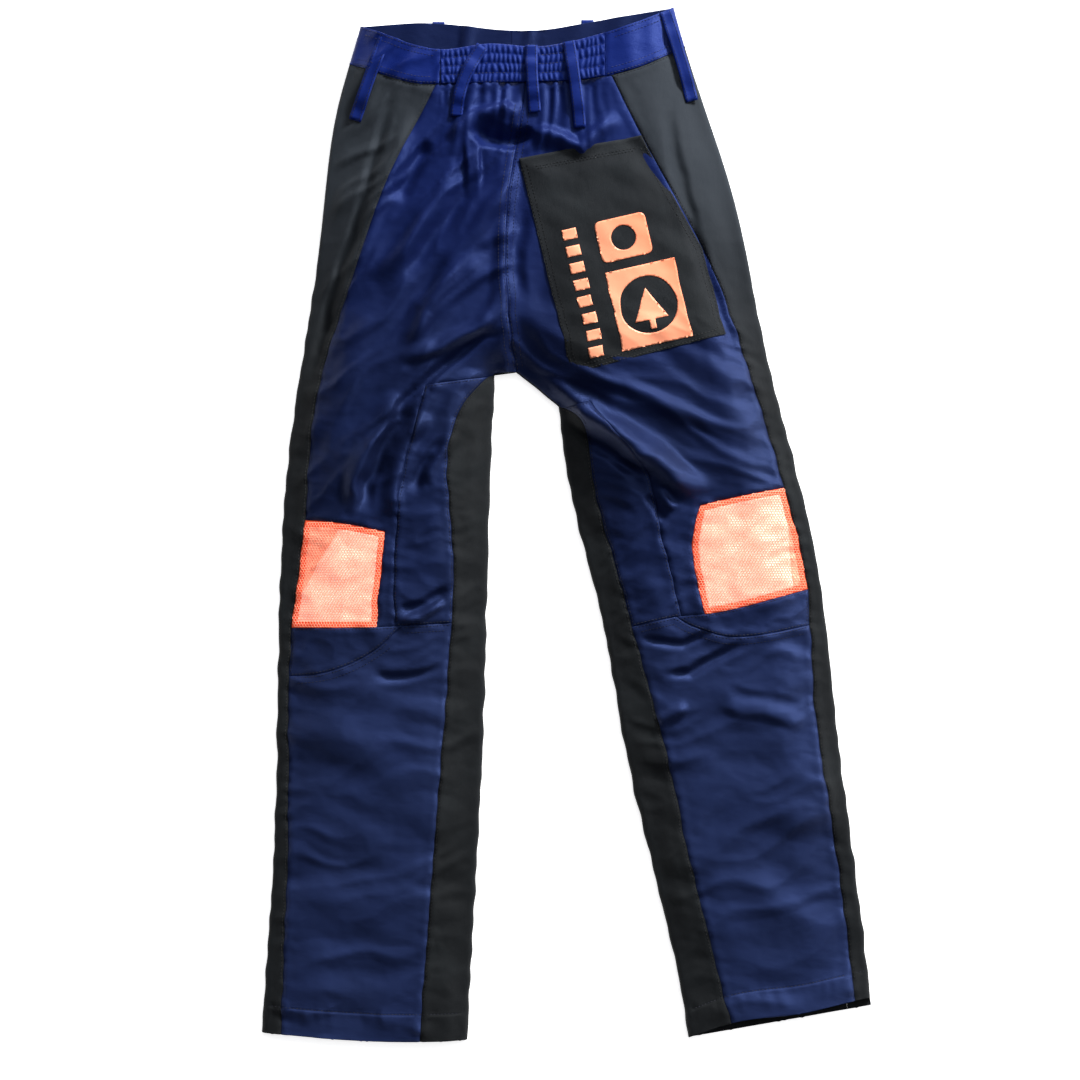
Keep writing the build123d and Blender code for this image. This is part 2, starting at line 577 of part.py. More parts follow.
def make_button():
    """A tack button: the head hangs under the left band, and its nail holds it to the right one."""
    centre = Pos(fly_x, button_y)
    head = centre * Cylinder(button_radius, button_height, align=(Align.CENTER, Align.CENTER, Align.MIN))
    head = fillet(head.edges().filter_by(GeomType.CIRCLE), 1.2)
    nail_hole = 0.9
    shank_top = front_lift + band_cloth + sewn_gap * 0.5
    shank = centre * Pos(0, 0, button_height - 1) * Cylinder(
        shank_radius, shank_top - button_height + 1, align=(Align.CENTER, Align.CENTER, Align.MIN))
    bore_low = button_height
    bore = centre * Pos(0, 0, bore_low) * Cylinder(nail_hole, 20, align=(Align.CENTER, Align.CENTER, Align.MIN))
    save("waist_button", head + shank - bore)
    plate_low = front_lift + band_cloth * 2 + sewn_gap * 2
    plate = centre * Pos(0, 0, plate_low) * Cylinder(
        tack_radius, tack_plate, align=(Align.CENTER, Align.CENTER, Align.MIN))
    nail = centre * Pos(0, 0, bore_low + fit_gap) * Cylinder(
        nail_hole - 0.05, plate_low - bore_low - fit_gap + tack_plate / 2,
        align=(Align.CENTER, Align.CENTER, Align.MIN))
    save("button_tack", plate + nail)


for side, seams, inward in (("left", LEFT, 1), ("right", RIGHT, -1)):
    make_leg(side, seams, inward)
    make_front_pocket(side, inward)
make_waistband()
for name, points in BACK_LOOPS.items():
    make_back_loop(name, points)
for name, place in FRONT_LOOPS.items():
    make_front_loop(name, place)
make_rear_pocket()
make_fly()
make_button()
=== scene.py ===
import functools
import math

import bmesh
import bpy
import numpy as np
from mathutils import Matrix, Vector, kdtree
from mathutils.geometry import delaunay_2d_cdt


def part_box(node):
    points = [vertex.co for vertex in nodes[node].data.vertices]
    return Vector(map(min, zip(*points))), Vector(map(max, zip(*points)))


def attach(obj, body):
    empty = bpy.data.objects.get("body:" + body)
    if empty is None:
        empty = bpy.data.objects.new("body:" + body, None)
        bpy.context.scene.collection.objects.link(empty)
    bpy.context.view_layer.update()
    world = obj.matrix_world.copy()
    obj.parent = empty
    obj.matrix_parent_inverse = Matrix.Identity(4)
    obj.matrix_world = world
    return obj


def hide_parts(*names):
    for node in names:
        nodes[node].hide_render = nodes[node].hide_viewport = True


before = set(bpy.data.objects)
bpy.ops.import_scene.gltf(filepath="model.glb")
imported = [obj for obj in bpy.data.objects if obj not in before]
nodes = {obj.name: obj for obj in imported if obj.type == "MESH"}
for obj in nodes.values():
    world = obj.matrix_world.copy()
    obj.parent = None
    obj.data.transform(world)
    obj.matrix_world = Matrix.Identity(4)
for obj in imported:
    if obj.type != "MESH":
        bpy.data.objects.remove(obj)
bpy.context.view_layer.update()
body = "trousers"
print("frame loaded:", len(nodes), "nodes")


# colours are given as they look on screen and turned into scene values here
def srgb(r, g, b):
    def lin(c):
        c /= 255
        return c / 12.92 if c <= 0.04045 else ((c + 0.055) / 1.055) ** 2.4
    return (lin(r), lin(g), lin(b), 1.0)


class Wire:        # one socket of a material, so that sums are written as plain expressions
    def __init__(self, finish, socket):
        self.finish = finish
        self.socket = socket

    def sum(self, operation, first, second):
        return self.finish.node("ShaderNodeMath", {"operation": operation}, {0: first, 1: second})

    def __add__(self, other):
        return self.sum("ADD", self, other)

    def __radd__(self, other):
        return self.sum("ADD", other, self)

    def __sub__(self, other):
        return self.sum("SUBTRACT", self, other)

    def __rsub__(self, other):
        return self.sum("SUBTRACT", other, self)

    def __mul__(self, other):
        return self.sum("MULTIPLY", self, other)

    def __rmul__(self, other):
        return self.sum("MULTIPLY", other, self)


class Finish:      # a material, or the sky of the room, and the nodes in it
    def __init__(self, name, store=bpy.data.materials):
        self.owner = store.new(name)
        self.owner.use_nodes = True
        self.tree = self.owner.node_tree
        self.tree.nodes.clear()

    def node(self, kind, settings=None, values=None, output=0):
        made = self.tree.nodes.new(kind)
        for key, value in (settings or {}).items():
            setattr(made, key, value)
        for key, value in (values or {}).items():
            if isinstance(value, Wire):
                self.tree.links.new(value.socket, made.inputs[key])
            else:
                made.inputs[key].default_value = value
        return None if output is None else Wire(self, made.outputs[output])

    def place(self, stretch=None, turn=0.0):      # where a point is on the object, in metres
        where = self.node("ShaderNodeTexCoord", output="Object")
        if stretch is None and not turn:
            return where
        return self.node("ShaderNodeMapping", {}, {"Vector": where, "Scale": stretch or (1, 1, 1),
                                                   "Rotation": (0, 0, turn)})

    def axis(self, name):
        return self.node("ShaderNodeSeparateXYZ", {}, {0: self.place()}, name)

    def noise(self, scale, detail=3.0, rough=0.5, stretch=None, turn=0.0):
        return self.node("ShaderNodeTexNoise", {}, {"Vector": self.place(stretch, turn), "Scale": scale,
                                                    "Detail": detail, "Roughness": rough})

    def step(self, value, low, high):             # 0 below low, 1 above high, smooth between
        return self.node("ShaderNodeMapRange", {"interpolation_type": "SMOOTHSTEP"},
                         {0: value, 1: low, 2: high})

    def mix(self, factor, first, second):
        return self.node("ShaderNodeMix", {"data_type": "RGBA"}, {0: factor, 6: first, 7: second}, 2)

    def lines(self, pitch, turn=0.0, wobble=0.5): # fine parallel lines, pitch metres apart
        return self.node("ShaderNodeTexWave", {"wave_type": "BANDS", "bands_direction": "X"},
                         {"Vector": self.place(turn=turn), "Scale": 0.314 / pitch, "Distortion": wobble,
                          "Detail": 1.0, "Detail Scale": 2.0})

    def done(self, colour, rough, height=None, strength=0.3, distance=0.0004, **more):
        values = {"Base Color": colour, "Roughness": rough}
        if height is not None:
            values["Normal"] = self.node("ShaderNodeBump", {}, {"Height": height, "Strength": strength,
                                                                "Distance": distance})
        for key, value in more.items():
            values[key.replace("_", " ")] = value
        shader = self.node("ShaderNodeBsdfPrincipled", {}, values)
        self.node("ShaderNodeOutputMaterial", {}, {0: shader}, None)
        return self.owner


navy = {"deep": srgb(10, 16, 40), "lit": srgb(16, 25, 58), "calf": srgb(32, 42, 76),
        "litBlue": srgb(4, 28, 112), "worn": srgb(36, 50, 104), "shade": srgb(4, 7, 22),
        "shine": (0.22, 0.36, 1.0, 1.0), "twill": 0.0007,
        "twillTurn": 0.9, "gloss": 0.48}


def navyTwill(name, litBlueAll=0.0, litBlueTop=0.25, shade=0.0):
    f = Finish(name)
    # painted light: towards the waist the navy is mixed with a brighter blue, as if lit from the top
    up = f.step(f.axis("Y"), 0.08, 0.46)
    # painted light and shade: shaded navy and lit navy mixed in random patches
    base = f.mix(f.step(f.noise(13, 3), 0.25, 0.75) * 0.8, navy["deep"], navy["lit"])
    # painted highlight: the lower legs are made a lighter navy
    base = f.mix(f.step(f.axis("Y"), 0.0, -0.2) * 0.55, base, navy["calf"])
    colour = f.mix(up * (litBlueTop - litBlueAll) + litBlueAll, base, navy["litBlue"])
    colour = f.mix(f.step(f.noise(190, 4, 0.65), 0.62, 0.85) * 0.10, colour, navy["worn"])
    # painted shade: the colour is darkened towards a near-black navy for cloth that lies in shadow
    colour = f.mix(shade, colour, navy["shade"])
    height = f.lines(navy["twill"], navy["twillTurn"]) * 0.6 + f.noise(1300, 2) * 0.7 \
        + f.noise(60, 4, 0.6, (1.0, 1.8, 1.0), 0.3) * 2.8
    return f.done(colour, f.noise(24, 3) * 0.14 + (navy["gloss"] - 0.07), height, 0.42, 0.0006,
                  Specular_IOR_Level=0.5, Specular_Tint=navy["shine"], Sheen_Weight=0.02, Sheen_Roughness=0.4,
                  Sheen_Tint=navy["shine"])


charcoal = {"deep": srgb(17, 20, 23), "worn": srgb(25, 29, 32), "paleGrey": srgb(46, 53, 62), "weave": 0.0009}


def charcoalShell(name, paleGrey=0.55):
    f = Finish(name)
    up = f.step(f.axis("Y"), 0.12, 0.42)
    colour = f.mix(f.step(f.noise(14, 4, 0.6), 0.4, 0.7) * 0.7, charcoal["deep"], charcoal["worn"])
    # painted light: the charcoal is made lighter towards the waist and hips, as if lit from the top
    colour = f.mix(up * paleGrey, colour, charcoal["paleGrey"])
    colour = f.mix(f.step(f.noise(210, 4, 0.7), 0.62, 0.8) * 0.25, colour, charcoal["paleGrey"])
    height = f.lines(charcoal["weave"], 0.4) * 0.6 + f.lines(charcoal["weave"], 1.97) * 0.6 \
        + f.noise(55, 4, 0.6, (1.7, 1.0, 1.0), 0.5) * 3.2
    return f.done(colour, f.noise(30, 3) * 0.12 + 0.62, height, 0.40, 0.0007,
                  Specular_IOR_Level=0.14, Sheen_Weight=0.03, Sheen_Roughness=0.5)


orange = {"net": srgb(255, 150, 118), "netLight": srgb(255, 176, 146), "lower": srgb(236, 70, 34),
          "lowerLight": srgb(250, 96, 58), "pale": srgb(255, 222, 206),
          "paleDark": srgb(255, 186, 158), "turned": srgb(255, 130, 96),
          "print": srgb(255, 104, 56), "printSheen": srgb(255, 160, 122), "crack": srgb(190, 84, 50)}


def netCord():
    f = Finish("orangeNet")
    # painted light: the emission makes the net cord glow, to look brightly lit
    return f.done(f.mix(f.step(f.noise(40, 3), 0.35, 0.7), orange["net"], orange["netLight"]), 0.55,
                  f.noise(2200, 2), 0.4, 0.0002, Emission_Color=orange["net"], Emission_Strength=0.25)


def netBacking(name, dark, light, glow=0.2):
    f = Finish(name)
    cells = f.node("ShaderNodeTexVoronoi", {"feature": "F1"}, {"Vector": f.place(), "Scale": 380.0})
    # painted light: each backing ply glows by its emission, to look brightly lit under the net
    return f.done(f.mix(f.step(cells, 0.15, 0.6), dark, light), 0.6, cells, 0.3, 0.0003,
                  Emission_Color=light, Emission_Strength=glow)


def emblemInk():
    f = Finish("emblemInk")
    # painted sheen: the print is paler towards its lower left, as if catching the light
    far = f.step(f.axis("X") + f.axis("Y") * 0.8, 0.25, 0.42)
    cracks = f.noise(260, 5, 0.7)
    colour = f.mix(f.step(cracks, 0.64, 0.74) * 0.5, f.mix(far, orange["printSheen"], orange["print"]),
                   orange["crack"])
    return f.done(colour, 0.42, cracks + f.lines(0.0009, 0.9) * 0.4, 0.3, 0.0002, Specular_IOR_Level=0.5)


def sewingThread(name, colour):
    f = Finish(name)
    twist = f.lines(0.0004, 0.8)
    return f.done(f.mix(twist * 0.35, colour, srgb(12, 14, 22)), 0.5, twist, 0.4, 0.0001,
                  Specular_IOR_Level=0.3)


def plainCloth(name, colour, second, pitch=0.0012, rough=0.7):
    f = Finish(name)
    both = f.mix(f.step(f.noise(60, 4), 0.35, 0.7), colour, second)
    return f.done(both, f.noise(40, 2) * 0.1 + (rough - 0.05),
                  f.lines(pitch, 0.5) * 0.7 + f.lines(pitch, 2.07) * 0.7 + f.noise(500, 3) * 0.6, 0.4, 0.0005,
                  Sheen_Weight=0.05)


def metal(name, colour, second, rough):
    f = Finish(name)
    marks = f.noise(900, 4, 0.6, (1.0, 6.0, 1.0))
    return f.done(f.mix(f.step(marks, 0.4, 0.75), colour, second), marks * 0.2 + rough, marks, 0.15, 0.0001,
                  Metallic=1.0)


finishes = {
    "navy": navyTwill("navyTwill"),
    # painted light: the waistband, elastic casing and belt loops get more of the brighter lit blue
    "litBlue": navyTwill("litBlueTwill", 0.3, 0.54),
    # painted shade: the inside of the front waistband is darkened
    "inside": navyTwill("insideTwill", 0.1, 0.25, 0.68),
    "charcoal": charcoalShell("charcoalShell"),
    "pocket": charcoalShell("pocketShell", 0.1),
    "net": netCord(),
    "lower": netBacking("lowerNet", orange["lower"], orange["lowerLight"]),
    "pale": netBacking("paleBacking", orange["paleDark"], orange["pale"], 0.34),
    "turned": netBacking("turnedBacking", orange["turned"], orange["paleDark"]),
    "ink": emblemInk(),
    "navyThread": sewingThread("navyThread", srgb(12, 16, 34)),
    "blueThread": sewingThread("blueThread", srgb(14, 24, 66)),
    "darkThread": sewingThread("darkThread", srgb(12, 13, 14)),
    "lining": plainCloth("liningCloth", srgb(28, 30, 38), srgb(42, 44, 54)),
    "pads": plainCloth("fibreLayers", srgb(214, 212, 196), srgb(238, 236, 224), 0.003, 0.8),
    "elastic": plainCloth("elasticWeb", srgb(205, 205, 200), srgb(230, 230, 226), 0.0015),
    "tape": plainCloth("zipTapeCloth", srgb(18, 20, 30), srgb(28, 30, 42), 0.0009),
    "brass": metal("zipBrass", srgb(176, 140, 78), srgb(120, 92, 48), 0.28),
    "steel": metal("buttonSteel", srgb(150, 150, 152), srgb(96, 96, 100), 0.3),
}

# the camera looks straight down; width is how much of the floor it takes in, in metres
view = {"height": 3.0, "width": 1.134, "across": -0.0278, "along": -0.0168}


def makeCamera():
    data = bpy.data.cameras.new("overhead")
    data.lens = data.sensor_width * view["height"] / view["width"]
    data.clip_end = 100
    camera = bpy.data.objects.new("overhead", data)
    camera.location = (view["across"], view["along"], view["height"] + 0.02)
    bpy.context.scene.collection.objects.link(camera)
    bpy.context.scene.camera = camera


def makeLight(name, place, target, size, watts):
    data = bpy.data.lights.new(name, "AREA")
    data.shape = "RECTANGLE"
    data.size, data.size_y = size
    data.energy = watts
    light = bpy.data.objects.new(name, data)
    light.location = place
    light.rotation_euler = (Vector(target) - Vector(place)).to_track_quat("-Z", "Y").to_euler()
    bpy.context.scene.collection.objects.link(light)


room = {"floor": (0.94, 0.94, 0.94, 1), "floorMarks": (0.96, 0.96, 0.96, 1), "glow": 0.75, "half": 40.0,
        "skyDark": (0.07, 0.07, 0.08, 1), "skyBright": (1.5, 1.5, 1.5, 1),
        "brightTowards": (0.42, 0.62, 0.66)}
keyLight = {"place": (1.4, 2.3, 1.25), "target": (0.0, 0.0, 0.0), "size": (0.6, 0.5), "watts": 170}


def makeRoom():
    mesh = bpy.data.meshes.new("floor")
    half = room["half"]
    corners = [(-half, -half, 0), (half, -half, 0), (half, half, 0), (-half, half, 0)]
    mesh.from_pydata(corners, [], [(0, 1, 2, 3)])
    floor = bpy.data.objects.new("floor", mesh)
    floor.location.z = -0.0003
    bpy.context.scene.collection.objects.link(floor)
    f = Finish("whiteFloor")
    paper = f.mix(f.step(f.noise(3, 2), 0.3, 0.7), room["floor"], room["floorMarks"])
    mesh.materials.append(f.done(paper, 0.9, Emission_Color=(1, 1, 1, 1), Emission_Strength=room["glow"]))
    sky = Finish("room", bpy.data.worlds)
    where = sky.node("ShaderNodeTexCoord", output="Generated")
    facing = sky.node("ShaderNodeVectorMath", {"operation": "DOT_PRODUCT"},
                      {0: where, 1: room["brightTowards"]}, "Value")
    glow = sky.mix(sky.step(facing, 0.45, 1.0), room["skyDark"], room["skyBright"])
    sky.node("ShaderNodeOutputWorld", {}, {0: sky.node("ShaderNodeBackground", {}, {0: glow})}, None)
    bpy.context.scene.world = sky.owner
    makeLight("keyLight", **keyLight)
    bpy.context.scene.view_settings.view_transform = "Standard"


makeCamera()
makeRoom()
print("camera and light set")


# from here lengths are in millimetres, until a mesh is made

def smooth(t):
    t = np.clip(t, 0, 1)
    return t * t * (3 - 2 * t)


def ripple(x, y, seed):        # soft random waves from about -1 to 1, one unit across
    turns = np.random.default_rng(seed).random((64, 64)) * 2 * math.pi
    ix, iy = np.floor(x).astype(int), np.floor(y).astype(int)
    fx, fy = x - ix, y - iy

    def corner(dx, dy):
        turn = turns[(ix + dx) % 64, (iy + dy) % 64]
        return np.cos(turn) * (fx - dx) + np.sin(turn) * (fy - dy)
    u, v = fx ** 3 * (fx * (fx * 6 - 15) + 10), fy ** 3 * (fy * (fy * 6 - 15) + 10)
    low = corner(0, 0) * (1 - u) + corner(1, 0) * u
    high = corner(0, 1) * (1 - u) + corner(1, 1) * u
    return (low * (1 - v) + high * v) * 1.5


def meshOf(node):              # its points in millimetres and its triangles
    mesh = nodes[node].data
    points = np.empty(len(mesh.vertices) * 3)
    mesh.vertices.foreach_get("co", points)
    points = points.reshape(-1, 3) * 1000
    mesh.calc_loop_triangles()
    faces = np.empty(len(mesh.loop_triangles) * 3, dtype=int)
    mesh.loop_triangles.foreach_get("vertices", faces)
    return points, faces.reshape(-1, 3)


def facesOf(node):            # points, triangles, how far each faces up, its area and its middle
    points, faces = meshOf(node)
    a, b, c = points[faces[:, 0]], points[faces[:, 1]], points[faces[:, 2]]
    normal = np.cross(b - a, c - a)
    size = np.linalg.norm(normal, axis=1)
    return points, faces, normal[:, 2] / np.maximum(size, 1e-9), size / 2, (a + b + c) / 3


def edgeLoops(points, faces):  # the closed edges of a set of faces, welded where corners meet
    keys = {}
    index = np.array([keys.setdefault((round(p[0] * 50), round(p[1] * 50)), len(keys)) for p in points])
    place = {}
    for i, k in enumerate(index):
        place.setdefault(k, points[i])
    follow = {}
    count = {}
    for face in index[faces]:
        for a, b in ((face[0], face[1]), (face[1], face[2]), (face[2], face[0])):
            if a != b:
                count[(a, b)] = count.get((a, b), 0) + 1
    for (a, b) in count:
        if (b, a) not in count:
            follow.setdefault(a, []).append(b)
    loops = []
    while follow:
        start = next(iter(follow))
        loop = [start]
        while True:
            here = loop[-1]
            options = follow.get(here)
            if not options:
                break
            there = options.pop()
            if not options:
                del follow[here]
            if there == start:
                break
            loop.append(there)
        if len(loop) > 2:
            loops.append(np.array([place[k] for k in loop]))
    return loops


def evenLoop(loop, step):      # points where the loop crosses an even grid, so neighbours share them
    made = []
    count = len(loop)
    for i in range(count):
        p, q, before = loop[i], loop[(i + 1) % count], loop[i - 1]
        a, b = p[:2] - before[:2], q[:2] - p[:2]
        bend = abs(math.atan2(a[0] * b[1] - a[1] * b[0], a[0] * b[0] + a[1] * b[1]))
        if bend > 0.35:
            made.append((p[0], p[1]))
        along = 1 if abs(b[1]) >= abs(b[0]) else 0
        low, high = sorted((p[along], q[along]))
        marks = np.arange(math.ceil(low / step), math.floor(high / step) + 1) * step
        if p[along] > q[along]:
            marks = marks[::-1]
        for mark in marks:
            t = (mark - p[along]) / (q[along] - p[along]) if q[along] != p[along] else 0
            made.append((p[0] + (q[0] - p[0]) * t, p[1] + (q[1] - p[1]) * t))
    kept = [made[0]]
    for point in made[1:]:
        if math.dist(point, kept[-1]) > step * 0.3:
            kept.append(point)
    if math.dist(kept[0], kept[-1]) <= step * 0.3:
        kept.pop()
    return np.array(kept)


def treeOf(points):
    tree = kdtree.KDTree(len(points))
    for i, point in enumerate(points):
        tree.insert((point[0], point[1], 0), i)
    tree.balance()
    return tree


def signedArea(loop):
    x, y = loop[:, 0], loop[:, 1]
    return 0.5 * float((x * np.roll(y, -1) - np.roll(x, -1) * y).sum())


def waysOf(loop, reach):      # along the outline at each point, and square to it, inward for an outer outline
    way = np.roll(loop, -reach, axis=0) - np.roll(loop, reach, axis=0)
    way /= np.maximum(np.linalg.norm(way, axis=1, keepdims=True), 1e-9)
    return way, np.column_stack((-way[:, 1], way[:, 0])) * (1 if signedArea(loop) > 0 else -1)


def distanceTo(tree, x, y):
    return np.array([tree.find((a, b, 0))[2] for a, b in zip(x.tolist(), y.tolist())])


flatTurn = 0.8                # a face that is flatter than this belongs to an upper or lower side
backFrom, frontTo = 12.0, 8.0    # heights that tell the back shell from the front shell


def sideLoops(node, upper, step=2.0):     # the outlines of a node's upper or lower side
    points, faces, turn, size, middle = facesOf(node)
    if upper:
        chosen = (turn > flatTurn) & (middle[:, 2] > backFrom)
    else:
        chosen = (turn < -flatTurn) & (middle[:, 2] < frontTo)
    return [evenLoop(loop, step) for loop in edgeLoops(points, faces[chosen])]


sides = ("left", "right")
wrapped = [f"{name}_{side}" for name in ("side_panel", "inner_leg_panel", "waistband") for side in sides]
backOnly = [f"{name}_{side}" for side in sides
            for name in ("seat_panel", "calf_panel", "thigh_gusset", "knee_vent_mesh", "vent_yoke")]
backOnly.append("elastic_casing_outer")
upperLoops = {node: sideLoops(node, True) for node in wrapped + backOnly}

# the folded outer edge of the garment, where no other panel comes near, and the seams between panels
hemBelow, waistAbove = -485, 455       # the open ends of the legs and of the waist lie beyond these
seamNear = 1.7
edgeSamples, seamSamples, openSamples = [], [], []
trees = {node: treeOf(np.vstack(loops)) for node, loops in upperLoops.items()}
for node, loops in upperLoops.items():
    others = [trees[other] for other in trees if other != node]
    for loop in loops:
        ahead = np.roll(loop, -1, axis=0) - np.roll(loop, 1, axis=0)
        for point, way in zip(loop, ahead):
            near = min(tree.find((point[0], point[1], 0))[2] for tree in others)
            level = abs(way[0]) > abs(way[1]) * 1.3
            if near < seamNear:
                seamSamples.append(point)
            elif level and (point[1] < hemBelow or point[1] > waistAbove):
                openSamples.append(point)
            elif node in wrapped or (-80 < point[0] < 10 and 100 < point[1] < 175):
                edgeSamples.append(point)
            else:
                seamSamples.append(point)
edgeTree, seamTree = treeOf(edgeSamples), treeOf(seamSamples)
print("outlines read:", len(edgeSamples), "edge,", len(seamSamples), "seam,", len(openSamples), "open")

seatPoints = np.vstack([meshOf(n)[0] for n in ("seat_panel_left", "calf_panel_left", "calf_panel_right")])
steps = np.unique(np.round(seatPoints[:, 1] / 4))
levelY = steps * 4
levelZ = np.maximum.accumulate([seatPoints[np.abs(seatPoints[:, 1] - y) < 5, 2].max() for y in levelY])
frontY = np.array([-560, 228, 232, 296, 300, 560])
frontZ = np.array([0, 0, 0, 6, 6, 6])

# how the flattened cloth lies: the round of its folded edge, how far in it reaches its full height,
# how strong its folds are, and the least height of the back above the front
lie = {"edgeRadius": 5.2, "rise": 62.0, "foldStrength": 2.1, "least": 8.4}

# folds pressed or pushed into the cloth: points, how far it reaches to the left and right of its line, height
folds = [
    ([(-100, 415), (-83, 402), (-58, 399), (-36, 412)], 12, 11, -5.0),
    ([(-126, 402), (-95, 428), (-67, 436), (-46, 427)], 9, 15, 3.6),
    ([(-52, 396), (-24, 408), (-3, 402), (14, 395), (34, 412), (56, 427)], 12, 16, 4.6),
    ([(-108, 372), (-88, 372)], 34, 34, 3.8),
    ([(-112, 378), (-132, 341), (-163, 295), (-203, 254)], 22, 15, 4.4),
    ([(-144, 402), (-178, 335)], 13, 13, -3.6),
    ([(-83, 285), (-150, 227), (-169, 187)], 22, 16, 3.6),
    ([(-97, 421), (-70, 408), (-40, 405), (-28, 396)], 13, 15, -3.4),
    ([(-72, 380), (-98, 352), (-140, 300), (-178, 250)], 14, 18, -2.8),
    ([(-48, 372), (-80, 330), (-118, 280), (-150, 215), (-160, 175)], 16, 12, 3.2),
    ([(-62, 322), (-66, 270), (-70, 215)], 9, 14, 2.6),
    ([(-40, 330), (-52, 290), (-50, 232)], 12, 10, -2.0),
    ([(-62, 228), (-90, 205), (-132, 184), (-176, 172)], 9, 15, 3.4),
    ([(-67, 199), (-89, 196), (-113, 177), (-157, 141), (-178, 116), (-212, 88), (-218, 70)], 8, 10, -3.8),
    ([(-170, 136), (-205, 88), (-219, 48), (-226, 6)], 11, 20, 4.6),
    ([(-160, 122), (-190, 84), (-206, 44), (-210, 12)], 10, 11, -3.2),
    ([(-140, 120), (-168, 88), (-180, 50), (-184, 8)], 14, 15, 3.8),
    ([(-128, 92), (-150, 62), (-160, 30)], 9, 10, -2.4),
    ([(-112, 96), (-136, 72), (-146, 40)], 10, 11, 2.4),
    ([(-121, -67), (-150, -84), (-177, -93)], 8, 8, -3.0),
    ([(-126, -80), (-152, -96), (-176, -104)], 7, 7, 2.4),
    ([(-130, -151), (-168, -161), (-204, -161)], 8, 8, -2.4),
    ([(-45, 160), (0, 128), (52, 95), (100, 60), (143, 25)], 24, 19, 9.0),
    ([(0, 103), (30, 84), (52, 68), (80, 47)], 12, 12, -3.4),
    ([(-18, 165), (60, 145), (120, 118), (182, 88)], 13, 13, 2.6),
    ([(96, 38), (113, 13)], 8, 8, 2.6),
    ([(84, 30), (104, 2)], 7, 7, -2.2),
    ([(100, -158), (130, -156), (156, -139), (190, -126)], 8, 9, -3.4),
    ([(79, -122), (122, -126), (152, -112)], 7, 7, -2.8),
    ([(94, -208), (128, -191)], 11, 9, 2.6),
    ([(160, -188), (180, -196), (207, -197), (250, -212)], 14, 9, 1.5),
    ([(166, -172), (190, -181), (215, -182), (246, -194)], 8, 10, -1.0),
    ([(107, 443), (117, 373), (144, 271), (181, 175)], 9, 14, -2.4),
    ([(-181, 464), (-216, 336), (-259, 207), (-275, 143)], 13, 6, -3.2),
    ([(-160, 440), (-190, 350), (-225, 262)], 12, 12, 2.0),
]


hemPoints = {side: np.array(sorted(tuple(p) for p in openSamples
                                   if p[1] < hemBelow and (p[0] < 0) == (side == "left"))) for side in sides}


def hemAt(x):                  # where the lower edge of either leg is
    left = np.interp(x, hemPoints["left"][:, 0], hemPoints["left"][:, 1])
    right = np.interp(x, hemPoints["right"][:, 0], hemPoints["right"][:, 1])
    return np.where(x < 0, left, right)


def foldHeights(x, y):
    total = np.zeros(len(x))
    for path, left, right, height in folds:
        path = np.array(path, dtype=float)
        reach = max(left, right) * 1.05
        (lowX, lowY), (highX, highY) = path.min(0) - reach, path.max(0) + reach
        box = (x > lowX) & (x < highX) & (y > lowY) & (y < highY)
        if not box.any():
            continue
        px = x[box] + ripple(x[box] / 32, y[box] / 32, 5) * 2.2
        py = y[box] + ripple(x[box] / 32, y[box] / 32, 6) * 2.2
        lengths = np.hypot(*(path[1:] - path[:-1]).T)
        whole = lengths.sum()
        best = np.full(len(px), 1e9)
        sign, along = np.zeros(len(px)), np.zeros(len(px))
        done = 0.0
        for a, b, length in zip(path[:-1], path[1:], lengths):
            way = (b - a) / length
            t = np.clip((px - a[0]) * way[0] + (py - a[1]) * way[1], 0, length)
            dx, dy = px - a[0] - way[0] * t, py - a[1] - way[1] * t
            far = np.hypot(dx, dy)
            nearer = far < best
            best[nearer] = far[nearer]
            sign[nearer] = (way[0] * dy - way[1] * dx)[nearer]
            along[nearer] = (done + t)[nearer] / whole
            done += length
        u = best / np.where(sign > 0, left, right)
        bump = np.where(u < 1, (1 + np.cos(math.pi * np.clip(u, 0, 1))) / 2, 0)
        taper = smooth(along / 0.25 + 0.12) * smooth((1 - along) / 0.25 + 0.12)
        total[box] += height * bump * taper
    return total * lie["foldStrength"]


def creased(x, y, seed):       # sharp-topped wrinkles, about 0 to 1
    return 1 - np.clip(np.abs(ripple(x, y, seed)) * 2.2, 0, 1)


def along(x, y, way, long, wide, seed, sharp):    # folds that run one way, soft or sharp-topped
    a, b = x * way[0] + y * way[1], -x * way[1] + y * way[0]
    b = b + ripple(x / 75, y / 75, seed + 1) * wide * 0.5
    make = creased if sharp else ripple
    return make(a / long, b / wide, seed)


def wrinkles(x, y):
    left = smooth((-45 - x) / 24)
    calf = smooth((-135 - y) / 50)
    knee = smooth((y + 190) / 60) * smooth((60 - y) / 70)
    thigh = smooth((y + 10) / 70) * smooth((330 - y) / 80)
    seat = smooth((y - 190) / 70)
    calves = along(x, y, (0.99, 0.10), 150, 74, 21, False) * 2.3 \
        + along(x, y, (0.98, -0.16), 110, 27, 22, False) * 0.55 \
        + along(x, y, (0.97, 0.2), 90, 40, 24, True) * 0.75
    knees = ripple(x / 36, y / 24, 25) * 0.9 + along(x, y, (0.9, 0.4), 46, 26, 26, True) * 0.9
    leftFolds = along(x, y, (0.64, 0.77), 150, 34, 30, False) * 2.0 \
        + along(x, y, (0.70, 0.71), 110, 27, 35, True) * 1.3
    rightFolds = along(x, y, (0.87, -0.49), 130, 30, 40, False) * 1.3 \
        + along(x, y, (0.9, -0.4), 100, 28, 45, True) * 1.1
    rightSeat = along(x, y, (0.1, 0.99), 120, 34, 47, False) * 1.1
    seats = left * leftFolds + (1 - left) * rightSeat
    thighs = left * leftFolds + (1 - left) * rightFolds
    return calf * calves * 2.9 + knee * knees * 2.0 + thigh * thighs * (1 - seat) * 2.2 + seat * seats * 3.0 \
        + ripple(x / 11, y / 10, 29) * 0.2


